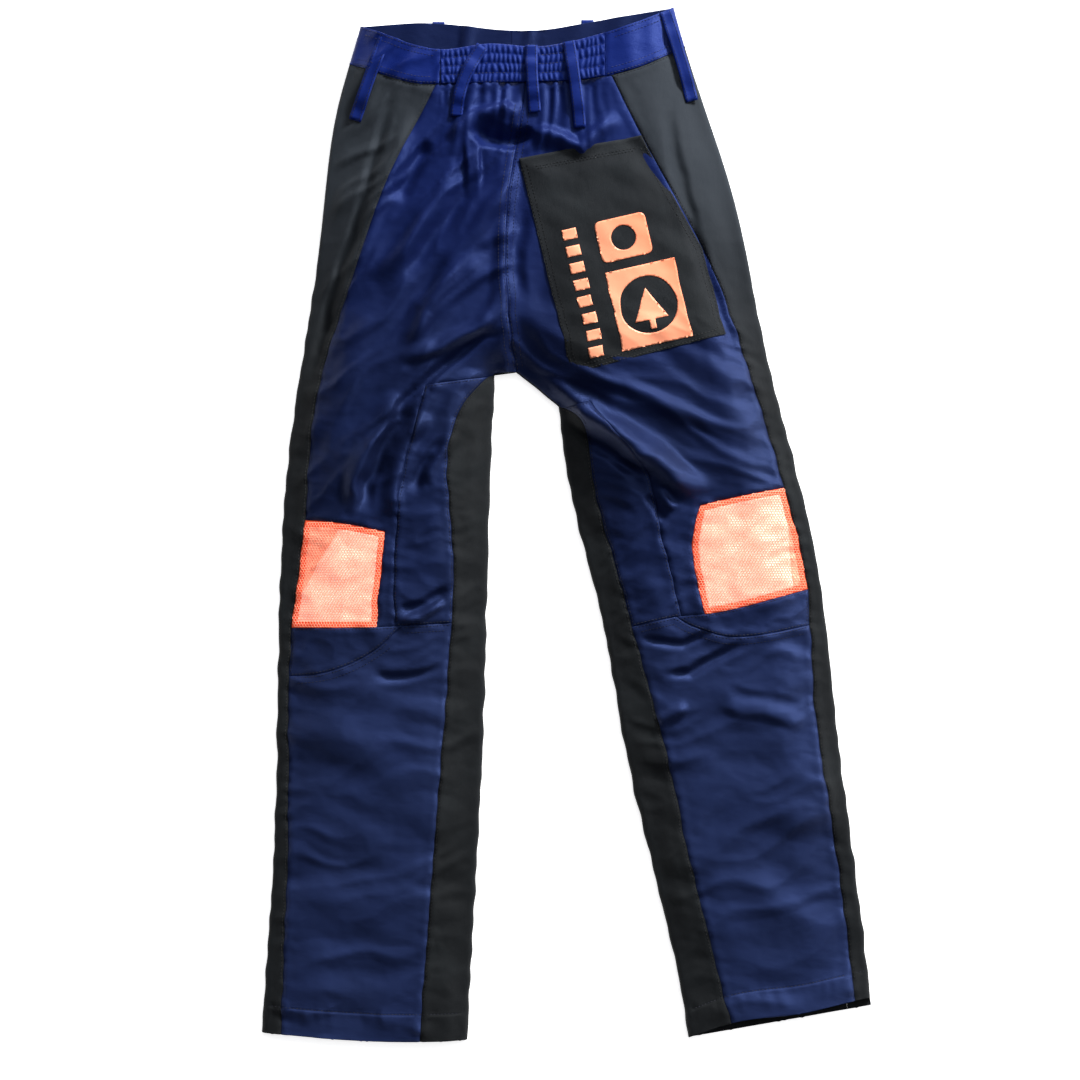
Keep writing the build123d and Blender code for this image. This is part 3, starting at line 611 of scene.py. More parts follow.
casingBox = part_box("elastic_casing_outer")
elastic = {"low": casingBox[0][0] * 1000, "high": casingBox[1][0] * 1000, "channels": 4,
           "rib": 5.4, "ribHeight": 2.2, "gather": 12.0, "gatherHeight": 3.8, "gatherReach": 95.0,
           "turnStep": 1.4, "turnBelow": 0.5}
casingLoop = upperLoops["elastic_casing_outer"][0]
casingMiddle = np.interp(casingLoop[:, 0], [-132, -80, 40], [478, 482, 490])
casingFoot = casingLoop[casingLoop[:, 1] < casingMiddle]
casingFoot = casingFoot[np.argsort(casingFoot[:, 0])]
casingTop = casingLoop[casingLoop[:, 1] >= casingMiddle]
casingTop = casingTop[np.argsort(casingTop[:, 0])]


def footOf(x):
    return np.interp(x, casingFoot[:, 0], casingFoot[:, 1])


def topOf(x):
    return np.interp(x, casingTop[:, 0], casingTop[:, 1])


def ribbing(x, y):             # ribs of the elastic casing, pinched at each row of stitches
    part = (y - footOf(x)) / (topOf(x) - footOf(x)) * elastic["channels"]
    pinch = np.abs(np.sin(math.pi * part)) ** 0.7
    warp = ripple(x / 14, np.floor(part) * 3.1 + part * 0.4, 31) * 3.4
    rib = 0.5 + 0.5 * np.cos(2 * math.pi * (x + warp) / elastic["rib"])
    return (rib * 0.75 + 0.35) * (0.25 + 0.75 * pinch) * elastic["ribHeight"] - 0.5


def gathers(x, y):             # the seat cloth just below the elastic
    down = footOf(x) - y
    inside = smooth((x - elastic["low"] + 12) / 22) * smooth((elastic["high"] + 12 - x) / 22)
    spread = x * (1 - np.clip(down, 0, 90) * 0.0016) + ripple(x / 22, y / 60, 32) * 5
    rib = ripple(spread / (elastic["gather"] * 0.75), y / 95 + 4, 33) \
        + 0.35 * np.cos(2 * math.pi * spread / elastic["gather"])
    fade = np.exp(-np.clip(down, 0, None) / (elastic["gatherReach"] * 0.42)) * (down > -3)
    return rib * fade * inside * elastic["gatherHeight"]


def foldedEdge(x, y, inset):   # distance from the folded edge, the front's level, and the round of the edge
    d = np.maximum(distanceTo(edgeTree, x, y) - inset, 0)
    part = 1 - np.clip(d / (lie["edgeRadius"] - inset), 0, 1)
    return d, np.interp(y, frontY, frontZ), np.sqrt(np.clip(1 - part ** 2, 0, 1))


def topHeight(x, y, inset=0.0, detail=True):
    r = lie["edgeRadius"]
    d, front, bend = foldedEdge(x, y, inset)
    level = np.interp(y, levelY, levelZ) - inset
    edge = front + r + (r - inset) * bend
    up = smooth((d - r * 0.5) / lie["rise"]) ** 0.8
    z = edge + (level - edge) * up
    if detail:
        seam = distanceTo(seamTree, x, y)
        z = z + (foldHeights(x, y) + wrinkles(x, y) + gathers(x, y)) * smooth((d - 2) / 22)
        pucker = ripple(x / 7, y / 7, 41) * 0.45 * np.exp(-seam / 6.0) \
            + ripple(x / 44, (y + 0.25 * x) / 9.5, 42) * 1.15 * np.exp(-seam / 13.0) \
            * smooth((240 - y) / 60) \
            + ripple(x / 30, (y - 0.3 * x) / 11, 44) * np.exp(-d / 14.0) * smooth((d - 2) / 6) \
            * smooth((330 - y) / 60)
        hem = y - hemAt(x)
        pucker = pucker + 1.1 * smooth((31.5 - hem) / 1.8) - 1.3 * np.exp(-((hem - 29) / 1.5) ** 2) \
            + ripple(x / 9, y / 30, 45) * 0.7 * np.exp(-((hem - 22) / 12) ** 2)
        ridge = 0.5 * np.exp(-((seam - 4.6) / 3.0) ** 2) - 0.6 * np.exp(-(seam / 1.3) ** 2)
        z = z + (pucker + ridge) * smooth(d / 6)
        z = np.where(d > r, np.maximum(z, front + lie["least"]), z)
    return z


# creases on the inside of the front band: place across, how wide, how high
innerCreases = [(-107, 8, 2.6), (-118, 5, -1.6), (-41, 5, 2.4), (-60, 12, 1.2), (8, 14, 1.4), (52, 10, 1.6),
                (-160, 14, 1.4)]


def bottomHeight(x, y, inset=0.0):
    r = lie["edgeRadius"]
    d, front, bend = foldedEdge(x, y, inset)
    crease = sum(height * np.exp(-((x - place - (y - 500) * 0.15) / wide) ** 2)
                 for place, wide, height in innerCreases)
    crease = np.clip(crease, 0, None) * smooth((y - 470) / 25) * smooth(d / 20)
    waves = (ripple(x / 40, y / 40, 43) * 0.5 + 0.5) * smooth(d / 20) * 0.25
    return front + r - (r - inset) * bend + waves + crease


def insideOf(loops, x, y):     # which points lie inside outlines and outside the holes in them
    inside = np.zeros(len(x), dtype=bool)
    for loop in loops:
        ax, ay = loop[:, 0], loop[:, 1]
        bx, by = np.roll(ax, -1), np.roll(ay, -1)
        for x1, y1, x2, y2 in zip(ax, ay, bx, by):
            if (y1 > y.max() and y2 > y.max()) or (y1 < y.min() and y2 < y.min()) or y1 == y2:
                continue
            crossing = ((y1 > y) != (y2 > y)) & (x < (x2 - x1) * (y - y1) / (y2 - y1) + x1)
            inside ^= crossing
    return inside


def fillPlan(loops, step, rows=(0.7, 2.0, 3.8, 6.2), fine=None):    # flat triangles inside outlines
    loops = [loop for loop in loops if abs(signedArea(loop)) > 6]
    biggest = max(range(len(loops)), key=lambda i: abs(signedArea(loops[i])))
    edge = np.vstack(loops)
    tree = treeOf(edge)
    extra = []
    for i, loop in enumerate(loops):
        inward = waysOf(loop, 1)[1] * (1 if i == biggest else -1)
        for k, row in enumerate(rows):
            offset = loop + inward * row
            offset = offset[k % 2::2] if row > step * 0.9 else offset
            clear = distanceTo(tree, offset[:, 0], offset[:, 1]) > row * 0.86
            extra.append(offset[clear])
    reach = (rows[-1] if rows else 0) + step * 0.55
    low, high = edge.min(0), edge.max(0)
    grids = [(step, None)] + ([fine] if fine else [])
    for size, area in grids:
        xs = np.arange(low[0], high[0] + size, size)
        ys = np.arange(low[1], high[1] + size, size * 0.866)
        gx, gy = np.meshgrid(xs, ys)
        gx[1::2] += size / 2
        gx, gy = gx.ravel(), gy.ravel()
        if fine:
            within = fine[1](gx, gy)
            keep = within if area else ~within
            gx, gy = gx[keep], gy[keep]
        far = distanceTo(tree, gx, gy) > reach
        extra.append(np.column_stack((gx[far], gy[far])))
    extra = np.vstack(extra)
    extra = extra[insideOf(loops, extra[:, 0], extra[:, 1])]
    points = np.vstack((edge, extra))
    edges, start = [], 0
    for loop in loops:
        count = len(loop)
        edges += [(start + i, start + (i + 1) % count) for i in range(count)]
        start += count
    made = delaunay_2d_cdt([Vector((a, b)) for a, b in points], edges, [], 0, 1e-4)
    flat = np.array([(v.x, v.y) for v in made[0]])
    faces = np.array([f[:] for f in made[2]], dtype=int)
    centre = flat[faces].mean(axis=1)
    faces = faces[insideOf(loops, centre[:, 0], centre[:, 1])]
    used = np.unique(faces)
    back = np.full(len(flat), -1)
    back[used] = np.arange(len(used))
    return flat[used], back[faces]


def makeMesh(name, points, faces, finish, thickness=0.0, weld=0.0, second=None, secondFrom=None):
    mesh = bpy.data.meshes.new(name)
    points = np.array(points, dtype=float)
    calm = smooth((290 - points[:, 1]) / 60) * smooth((points[:, 1] + 545) / 30)
    points[:, 0] += ripple(points[:, 0] / 46 + 7, points[:, 1] / 21, 61) * 1.5 * calm
    mesh.from_pydata((points / 1000).tolist(), [], [list(map(int, f)) for f in faces])
    if second:
        mesh.polygons.foreach_set("material_index", [int(i >= secondFrom) for i in range(len(faces))])
    work = bmesh.new()
    work.from_mesh(mesh)
    if weld:
        bmesh.ops.remove_doubles(work, verts=work.verts, dist=weld / 1000)
    loose = [v for v in work.verts if not v.link_faces]
    bmesh.ops.delete(work, geom=loose, context="VERTS")
    for face in work.faces:
        face.smooth = True
    work.to_mesh(mesh)
    work.free()
    piece = bpy.data.objects.new(name, mesh)
    bpy.context.scene.collection.objects.link(piece)
    mesh.materials.append(finishes[finish])
    if second:
        mesh.materials.append(finishes[second])
    if thickness:
        solid = piece.modifiers.new("thickness", "SOLIDIFY")
        solid.thickness = thickness / 1000
        solid.offset = -1
        solid.use_even_offset = False
    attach(piece, body)
    return piece


def cutSize(node):             # width and length of the cloth that the CAD panel was cut from, in metres
    area = facesOf(node)[3].sum() / 2e6
    low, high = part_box(node)
    length = max(high[1] - low[1], high[0] - low[0])
    return area / length, length


def cloth(node, points, faces, finish, thickness, weld=0.0, second=None, secondFrom=None):
    name = node.replace("_", "-") + "-cloth"
    piece = makeMesh(name, points, faces, finish, thickness, weld, second, secondFrom)
    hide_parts(node)
    cutSize(node)


@functools.cache
def offsetOf(node):            # how far an upper panel lies above the seat and calf cloth
    points, faces, turn, size, middle = facesOf(node)
    chosen = (turn > flatTurn) & (middle[:, 2] > backFrom)
    return float(np.median(middle[chosen, 2] - np.interp(middle[chosen, 1], levelY, levelZ)))


# finish, size of the mesh's triangles and thickness of the cloth
panels = {
    "seat_panel": ("navy", 3.0, 0.8), "calf_panel": ("navy", 3.0, 0.8), "thigh_gusset": ("navy", 2.6, 0.8),
    "vent_yoke": ("navy", 2.6, 0.8), "side_panel": ("charcoal", 3.0, 0.8),
    "inner_leg_panel": ("charcoal", 2.8, 0.8), "waistband": ("litBlue", 2.6, 1.5),
}


def gatherArea(x, y):
    return (y > 375) & (x > -140) & (x < 62)


def hemArea(x, y):
    return np.abs(y - hemAt(x) - 29) < 6


# where a panel's mesh is finer than elsewhere: the size of its triangles there, and the area
fineAreas = {"seat_panel": (1.9, gatherArea), "calf_panel": (1.1, hemArea), "side_panel": (1.1, hemArea),
             "inner_leg_panel": (1.1, hemArea)}


def makePanel(kind, side):
    finish, step, thick = panels[kind]
    node = f"{kind}_{side}"
    flat, faces = fillPlan(upperLoops[node], step, fine=fineAreas.get(kind))
    raised = max(offsetOf(node), 0.0)
    x, y = flat[:, 0], flat[:, 1]
    z = topHeight(x, y)
    if raised:
        z = z + raised * smooth(distanceTo(edgeTree, x, y) / 12)
    points = np.column_stack((flat, z))
    upperCount = len(faces)
    if node in wrapped:
        lower, lowerFaces = fillPlan(sideLoops(node, False), 3.0 if kind == "waistband" else 6.0)
        lowerZ = bottomHeight(lower[:, 0], lower[:, 1])
        lowerFaces = lowerFaces[:, ::-1] + len(points)
        points = np.vstack((points, np.column_stack((lower, lowerZ))))
        faces = np.vstack((faces, lowerFaces))
    # the waistband's lower faces, inside the front band, get the navy with painted shade
    second = "inside" if kind == "waistband" else None
    cloth(node, points, faces, finish, thick, 0.35, second, upperCount)


for side in sides:
    for kind in panels:
        makePanel(kind, side)
print("back panels made")


# the outer casing of the elastic is ribbed between its rows of stitches
def casingHeight(x, y):
    return topHeight(x, y, detail=False) + offsetOf("elastic_casing_outer") + ribbing(x, y) \
        + ripple(x / 40, y / 30, 34) * 0.8


def makeCasing():
    node = "elastic_casing_outer"
    flat, faces = fillPlan(upperLoops[node], 1.4, rows=(0.7, 1.6))
    upper = np.column_stack((flat, casingHeight(flat[:, 0], flat[:, 1])))
    x = np.arange(elastic["low"] + 1, elastic["high"] - 1, elastic["turnStep"])
    y = topOf(x)              # here the cloth is turned down over the elastic
    foot = topHeight(x, y, detail=False) - elastic["turnBelow"]
    turned = np.vstack((np.column_stack((x, y, casingHeight(x, y))), np.column_stack((x, y + 0.2, foot))))
    count, first = len(x), len(upper)
    more = [(i, i + 1, i + 1 + count) for i in range(count - 1)] + [(i, i + 1 + count, i + count)
                                                                    for i in range(count - 1)]
    cloth(node, np.vstack((upper, turned)), np.vstack((faces, np.array(more) + first)), "litBlue", 0.7)


# a knee vent is an open net of soft cord over a paler ply that stops short of the seams
net = {"pitch": 3.0, "cord": 0.8, "plyInset": 6.5, "lift": 0.9,
       "fold": {"left": ((-233, 4), (-283, -82)), "right": ((242, -100), (226, 60))}}


def clipLoop(loop, line, keepLeft):     # the part of an outline on one side of a line
    (ax, ay), (bx, by) = line
    side = (bx - ax) * (loop[:, 1] - ay) - (by - ay) * (loop[:, 0] - ax)
    side = side if keepLeft else -side
    made = []
    for i in range(len(loop)):
        j = (i + 1) % len(loop)
        if side[i] >= 0:
            made.append(loop[i])
        if (side[i] >= 0) != (side[j] >= 0):
            made.append(loop[i] + (loop[j] - loop[i]) * side[i] / (side[i] - side[j]))
    return np.array(made)


def makeVent(side):
    node = f"knee_vent_mesh_{side}"
    loops = upperLoops[node]
    pitch = net["pitch"]
    low, high = np.vstack(loops).min(0), np.vstack(loops).max(0)
    points, index, faces = [], {}, []
    r = pitch / math.sqrt(3)      # from the middle of a hexagon to its corner
    rows = int((high[1] - low[1]) / (r * 1.5)) + 3
    cols = int((high[0] - low[0]) / pitch) + 3
    centres = np.array([(low[0] + (i + 0.5 * (j % 2)) * pitch, low[1] + j * r * 1.5)
                        for j in range(rows) for i in range(cols)])
    corners = [(r * math.sin(math.pi / 3 * k), r * math.cos(math.pi / 3 * k)) for k in range(6)]
    whole = insideOf(loops, centres[:, 0], centres[:, 1])
    for dx, dy in corners:
        whole &= insideOf(loops, centres[:, 0] + dx, centres[:, 1] + dy)
    for cx, cy in centres[whole]:
        face = []
        for dx, dy in corners:
            px, py = cx + dx, cy + dy
            key = (round(px * 5), round(py * 5))
            if key not in index:
                index[key] = len(points)
                points.append((px, py))
            face.append(index[key])
        faces.append(face[::-1])
    flat = np.array(points)
    z = topHeight(flat[:, 0], flat[:, 1]) + net["lift"] * 0.3
    cords = makeMesh(f"knee-vent-net-{side}", np.column_stack((flat, z)), faces, "net")
    wire = cords.modifiers.new("cords", "WIREFRAME")
    wire.thickness = net["cord"] / 1000
    wire.use_even_offset = False
    wire.use_boundary = True
    flat, faces = fillPlan(loops, 3.0)
    z = topHeight(flat[:, 0], flat[:, 1]) - net["lift"]
    lower = makeMesh(f"knee-vent-lower-{side}", np.column_stack((flat, z)), faces, "lower", 0.4)
    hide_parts(node)
    edge = treeOf(np.vstack(loops))
    offset = loops[0] + waysOf(loops[0], 3)[1] * net["plyInset"]
    keep = distanceTo(edge, offset[:, 0], offset[:, 1]) > net["plyInset"] * 0.9
    inner = offset[keep][::2]
    for name, keepLeft, finish in (("ply", True, "pale"), ("ply-turned", False, "turned")):
        cut = clipLoop(inner, net["fold"][side], keepLeft)
        if len(cut) < 3 or abs(signedArea(cut)) < 60:
            continue
        flat, faces = fillPlan([evenLoop(cut, 2.0)], 3.0, rows=())
        z = topHeight(flat[:, 0], flat[:, 1]) - net["lift"] * 0.55
        ply = makeMesh(f"knee-vent-{name}-{side}", np.column_stack((flat, z)), faces, finish, 0.25)
    cutSize(node)


# from here the front of the trousers, which lies on the floor, and the layers inside
def topAlong(node):            # height of a flat node's upper side along the garment
    points, faces, turn, size, middle = facesOf(node)
    chosen = points[np.unique(faces[turn > flatTurn])]
    marks = np.unique(np.round(chosen[:, 1] / 3)) * 3
    tops = [chosen[np.abs(chosen[:, 1] - mark) < 3, 2].max() for mark in marks]
    return lambda x, y: np.interp(y, marks, tops)


def flatLoops(node, step=3.0):
    points, faces, turn, size, middle = facesOf(node)
    loops = [evenLoop(loop, step) for loop in edgeLoops(points, faces[turn > flatTurn])]
    return [loop for loop in loops if abs(signedArea(loop)) > 12]


def makeFlat(node, finish, thickness, step, wave, seed, rows=(), height=None):
    loops = flatLoops(node, min(step, 3.0))
    flat, faces = fillPlan(loops, step, rows=rows)
    x, y = flat[:, 0], flat[:, 1]
    base = (height or topAlong(node))(x, y)
    z = base + (ripple(x / 34, y / 34, seed) * 0.7 + ripple(x / 13, y / 13, seed + 1) * 0.3) * wave - wave
    cloth(node, np.column_stack((flat, z)), faces, finish, thickness)


pads = {"layers": 6, "thickness": 0.78, "pitch": 0.9, "wave": 0.07}


def makePads(side):
    node = f"protective_layers_{side}"
    points, faces, turn, size, middle = facesOf(node)
    upperSide = topAlong(node)
    topmost = (turn > flatTurn) & (middle[:, 2] > upperSide(0, middle[:, 1]) - 0.5)
    loops = [evenLoop(loop, 3.0) for loop in edgeLoops(points, faces[topmost]) if abs(signedArea(loop)) > 20]
    flat, faces = fillPlan(loops, 7.0, rows=(2.0,))
    x, y = flat[:, 0], flat[:, 1]
    top = upperSide(x, y)
    stack, allFaces = [], []
    for k in range(pads["layers"]):
        z = top - pads["pitch"] * k - 0.08 + ripple(x / 30, y / 30, 70) * pads["wave"]
        stack.append(np.column_stack((flat, z)))
        allFaces.append(faces + len(flat) * k)
    piece = makeMesh(f"protective-layers-{side}-cloth", np.vstack(stack), np.vstack(allFaces), "pads",
                     pads["thickness"])
    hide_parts(node)


def makeHemFacing(side):
    node = f"hem_facing_{side}"
    upper, lower = sideLoops(node, True, 3.0), sideLoops(node, False, 3.0)
    flat, faces = fillPlan(upper, 4.0, rows=(1.5,))
    z = topHeight(flat[:, 0], flat[:, 1], 1.1) - 0.3
    points = np.column_stack((flat, z))
    if lower:
        flat, more = fillPlan(lower, 4.0, rows=(1.5,))
        z = bottomHeight(flat[:, 0], flat[:, 1], 1.1) + 1.0
        faces = np.vstack((faces, more[:, ::-1] + len(points)))
        points = np.vstack((points, np.column_stack((flat, z))))
    cloth(node, points, faces, "charcoal", 0.6)


# the rear pocket is a patch that bulges off the seat, with a slack mouth and one corner folded over
pocketLoops = flatLoops("rear_pocket", 2.0)
pocketLoop = max(pocketLoops, key=lambda loop: abs(signedArea(loop)))
pocketTree = treeOf(pocketLoop)
pocket = {"edge": 1.2, "bulge": 2.6, "mouth": [(-50, 382), (78, 406)], "mouthLift": 2.6,
          "crease": [(60, 403), (104, 362)], "creaseReach": 9.0, "creaseDepth": 2.2, "emblemLift": 0.45}


def lineDistance(x, y, line):
    (ax, ay), (bx, by) = line
    length = math.dist(*line)
    return ((bx - ax) * (y - ay) - (by - ay) * (x - ax)) / length


def pocketHeight(x, y):
    d = distanceTo(pocketTree, x, y)
    mouth = np.abs(lineDistance(x, y, pocket["mouth"]))
    crease = lineDistance(x, y, pocket["crease"])
    soft = ripple(x / 34, y / 30, 81) * 0.9 + ripple(x / 60 + 3, (y + 0.5 * x) / 22, 82) * 0.8
    z = pocket["edge"] + pocket["bulge"] * smooth(d / 30) + soft * smooth(d / 16)
    z = z + pocket["mouthLift"] * np.exp(-mouth / 14) * smooth(d / 3 + 0.4)
    z = z - pocket["creaseDepth"] * np.exp(-(crease / pocket["creaseReach"]) ** 2) * (mouth < 70)
    z = z + np.where(crease > 0, 1.4 * smooth(crease / 18), 0)
    return topHeight(x, y, detail=False) + (foldHeights(x, y) + wrinkles(x, y)) * 0.55 + z


def makeRearPocket():
    flat, faces = fillPlan([pocketLoop], 2.4)
    z = pocketHeight(flat[:, 0], flat[:, 1])
    cloth("rear_pocket", np.column_stack((flat, z)), faces, "pocket", 0.8)


def makeEmblem():
    points, triangles, turn, size, middle = facesOf("rear_pocket_print")
    loops = [evenLoop(loop, 1.6) for loop in edgeLoops(points, triangles[turn > flatTurn])]
    loops = [loop for loop in loops if abs(signedArea(loop)) > 3]

    def within(loop):          # the other outlines that lie inside this one
        return [other for other in loops
                if other is not loop and insideOf([loop], other[:1, 0], other[:1, 1])[0]]

    inner = {id(other) for loop in loops for other in within(loop)}
    marks, allFaces, count = [], [], 0
    for loop in loops:
        if id(loop) in inner:
            continue
        holes = [other for other in within(loop) if signedArea(other) * signedArea(loop) < 0]
        islands = [other for other in within(loop) if signedArea(other) * signedArea(loop) > 0]
        for group in [[loop] + holes] + [[island] for island in islands]:
            flat, faces = fillPlan(group, 1.8, rows=())
            z = pocketHeight(flat[:, 0], flat[:, 1]) + pocket["emblemLift"]
            marks.append(np.column_stack((flat, z)))
            allFaces.append(faces + count)
            count += len(flat)
    emblem = makeMesh("rear-pocket-emblem", np.vstack(marks), np.vstack(allFaces), "ink", 0.4)
    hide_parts("rear_pocket_print")


# a belt loop is a strip sewn down at both ends, which stands off the band between them
strips = {"width": 13.0, "thickness": 1.1, "arch": 4.2, "endLift": 0.6, "steps": 26, "across": 7,
          "sewn": 11.0, "turnedIn": 0.022}
stripPlans = {
    "side_left": [(-190, 511), (-207, 466), (-222, 423)],
    "back_left": [(-88, 499), (-108, 461), (-115, 426)],
    "centre_back": [(-37, 500), (-36, 465), (-33, 430)],
    "back_right": [(2, 504), (9, 459), (14, 414)],
    "side_right": [(104, 538), (119, 491), (132, 444)],
}


def curveThrough(path, count):
    path = np.array(path, dtype=float)
    t = np.linspace(0, 1, count)[:, None]
    middle = path[1] * 2 - (path[0] + path[2]) / 2
    line = path[0] * (1 - t) ** 2 + middle * 2 * t * (1 - t) + path[2] * t ** 2
    way = np.gradient(line, axis=0)
    way /= np.linalg.norm(way, axis=1, keepdims=True)
    return line, np.column_stack((-way[:, 1], way[:, 0]))


def bandTop(x, y):             # the highest cloth under a loop
    z = topHeight(x, y, detail=False)
    inCasing = (x > elastic["low"]) & (x < elastic["high"]) & (y > footOf(x) - 2)
    bandUp = max(offsetOf("waistband_left"), 0.5) + 0.3
    return z + np.where(inCasing, offsetOf("elastic_casing_outer") + 0.9, bandUp)


def makeStrip(name, path, upward=True):
    node = f"belt_loop_{name}"
    count, across = strips["steps"], strips["across"]
    line, square = curveThrough(path, count)
    points = []
    length = math.dist(path[0], path[-1])
    ends = strips["sewn"] / length
    for i in range(count):
        t = i / (count - 1)
        for j in range(across):
            s = j / (across - 1) - 0.5
            wide = strips["width"] * (1 + 0.03 * math.sin(t * 9 + s))
            x, y = line[i] + square[i] * s * wide
            points.append((x, y, t, s))
    points = np.array(points)
    t, s = points[:, 2], points[:, 3]
    arch = smooth((t - ends * 0.6) / 0.22) * smooth((1 - t - ends * 0.6) / 0.22)
    bulge = np.sqrt(np.clip(1 - (s * 2) ** 2, 0, 1)) * 0.5
    doubled = np.where((t < ends) | (t > 1 - ends), 0.9, 0.0)
    if upward:
        ground = bandTop(points[:, 0], points[:, 1])
        chord = np.interp(t, [0, 1], [ground[:across].mean(), ground[-across:].mean()])
        arch = arch * strips["arch"] * (1 - 0.12 * np.cos(t * 14))
        z = np.maximum(ground, chord) + strips["endLift"] + doubled + bulge + arch
    else:
        low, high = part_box(node)
        z = high[2] * 1000 - 0.2 - bulge * 0.4 - arch * (strips["arch"] - 0.2) + strips["thickness"]
        z = np.maximum(z, low[2] * 1000 + strips["thickness"] + 0.05)
    faces = [(i * across + j, (i + 1) * across + j, (i + 1) * across + j + 1, i * across + j + 1)
             for i in range(count - 1) for j in range(across - 1)]
    shape = np.column_stack((points[:, 0], points[:, 1], z))
    piece = makeMesh(node.replace("_", "-") + "-strip", shape, faces, "litBlue", strips["thickness"])
    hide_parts(node)
    return shape.reshape(count, across, 3)


def frontHeight(x, y):
    return np.interp(y, frontY, frontZ) + 1.05


def innerCasingHeight(x, y):
    return topHeight(x, y, detail=False) - 0.2


def elasticHeight(x, y):
    return topHeight(x, y, detail=False) + 1.3


makeCasing()
for side in sides:
    makeVent(side)
    makeFlat(f"front_panel_{side}", "charcoal", 0.8, 6.0, 0.12, 60, (1.5,), frontHeight)
    makePads(side)
    makeHemFacing(side)
    makeFlat(f"leg_lining_{side}", "lining", 0.4, 7.0, 0.15, 90, (2.0,))
    makeFlat(f"fly_facing_{side}", "navy", 0.5, 4.0, 0.1, 91)
    makeFlat(f"zip_tape_{side}", "tape", 0.5, 2.5, 0.05, 92)
    for part in ("front", "back"):
        makeFlat(f"front_pocket_bag_{part}_{side}", "lining", 0.4, 4.0, 0.1, 93)
    makeFlat(f"front_pocket_facing_{side}", "charcoal", 0.4, 4.0, 0.08, 94)
print("front, nets and inner layers made")
makeFlat("fly_shield", "navy", 0.6, 4.0, 0.1, 95)
makeFlat("elastic_casing_inner", "navy", 0.5, 2.6, 0.3, 96,
         height=innerCasingHeight)
makeFlat("waist_elastic", "elastic", 1.2, 2.6, 0.3, 97,
         height=elasticHeight)
makeRearPocket()
makeEmblem()
stripShapes = [makeStrip(name, path) for name, path in stripPlans.items()]
for name in ("front_left", "front_right"):
    low, high = [np.array(corner) * 1000 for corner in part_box(f"belt_loop_{name}")]
    centre = (low + high) / 2
    makeStrip(name, [(centre[0], y) for y in (high[1] - 0.3, centre[1], low[1] + 0.3)], False)


def makeBagSeam(side):         # the bound edge between the two cloths of a front pocket bag
    node = f"front_pocket_bag_seam_{side}"
    loops = flatLoops(node, 3.0)
    outer = max(loops, key=lambda loop: abs(signedArea(loop)))
    low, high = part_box(node)
    levels = np.linspace(low[2] * 1000 + 0.1, high[2] * 1000 - 0.1, 5)
    count = len(outer)
    middle = outer.mean(0)
    points, faces = [], []
    for k, z in enumerate(levels):
        pull = 1 - 0.012 * math.sin(math.pi * k / 4)
        for i, (x, y) in enumerate(outer):
            px, py = middle + (np.array((x, y)) - middle) * pull
            points.append((px, py, z + 0.08 * math.sin(i * 0.8)))
    for k in range(4):
        for i in range(count):
            j = (i + 1) % count
            faces.append((k * count + i, k * count + j, (k + 1) * count + j, (k + 1) * count + i))
    piece = makeMesh(f"front-pocket-bag-seam-{side}-tape", points, faces, "lining", 0.5)
    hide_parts(node)
    cutSize(node)


for side in sides:
    makeBagSeam(side)
print("pocket, loops and waist made")


# stitches are short raised dashes that follow a seam at a set distance
stitch = {"length": 2.6, "gap": 1.1, "width": 0.85, "height": 0.42}


def dashes(line, height, store):      # line of x, y points; height gives z in mm
    line = np.asarray(line, dtype=float)
    gaps = np.hypot(*(line[1:] - line[:-1]).T)
    reached = np.concatenate(([0], np.cumsum(gaps)))
    pitch = stitch["length"] + stitch["gap"]
    starts = np.arange(0.3, reached[-1] - stitch["length"], pitch)
    if not len(starts):
        return
    ends = starts + stitch["length"]
    ax, ay = np.interp(starts, reached, line[:, 0]), np.interp(starts, reached, line[:, 1])
    bx, by = np.interp(ends, reached, line[:, 0]), np.interp(ends, reached, line[:, 1])
    za, zb = height(ax, ay), height(bx, by)
    zm = np.maximum(height((ax + bx) / 2, (ay + by) / 2), (za + zb) / 2)
    for x1, y1, z1, x2, y2, z2, z3 in zip(ax, ay, za, bx, by, zb, zm):
        way = np.array((x2 - x1, y2 - y1))
        way /= max(np.hypot(*way), 1e-6)
        out = np.array((-way[1], way[0])) * stitch["width"] / 2
        base = len(store["points"])
        mx, my = (x1 + x2) / 2, (y1 + y2) / 2
        sections = ((x1, y1, z1, 0.45, 0.05), (mx, my, z3, 1.0, 1.0), (x2, y2, z2, 0.45, 0.05))
        for cx, cy, cz, wide, tall in sections:
            store["points"] += [(cx + out[0] * wide, cy + out[1] * wide, cz - 0.05),
                                (cx, cy, cz + stitch["height"] * tall),
                                (cx - out[0] * wide, cy - out[1] * wide, cz - 0.05)]
        for k in (0, 3):
            store["faces"] += [(base + k, base + k + 3, base + k + 4, base + k + 1),
                               (base + k + 1, base + k + 4, base + k + 5, base + k + 2),
                               (base + k + 2, base + k + 5, base + k + 3, base + k)]
        store["faces"] += [(base, base + 1, base + 2), (base + 5, base + 4, base + 3)]


def runsBeside(loop, distance, chosen):     # parts of an outline, moved inward, where chosen says so
    way, inward = waysOf(loop, 2)
    offset = loop + inward * distance
    mask = chosen(loop, way)
    start = int(np.argmin(mask)) if not mask.all() else 0
    order = (np.arange(len(loop)) + start) % len(loop)
    clear = distanceTo(treeOf(loop), offset[:, 0], offset[:, 1]) > distance * 0.85
    runs = [[]]
    for i in order:
        if mask[i] and clear[i]:
            runs[-1].append(offset[i])
        elif runs[-1]:
            runs.append([])
    return [np.array(run) for run in runs if len(run) > 3]


def seamHere(loop, way):
    return distanceTo(edgeTree, loop[:, 0], loop[:, 1]) > 3


def levelHere(loop, way):
    return (np.abs(way[:, 0]) > 0.75) & seamHere(loop, way)


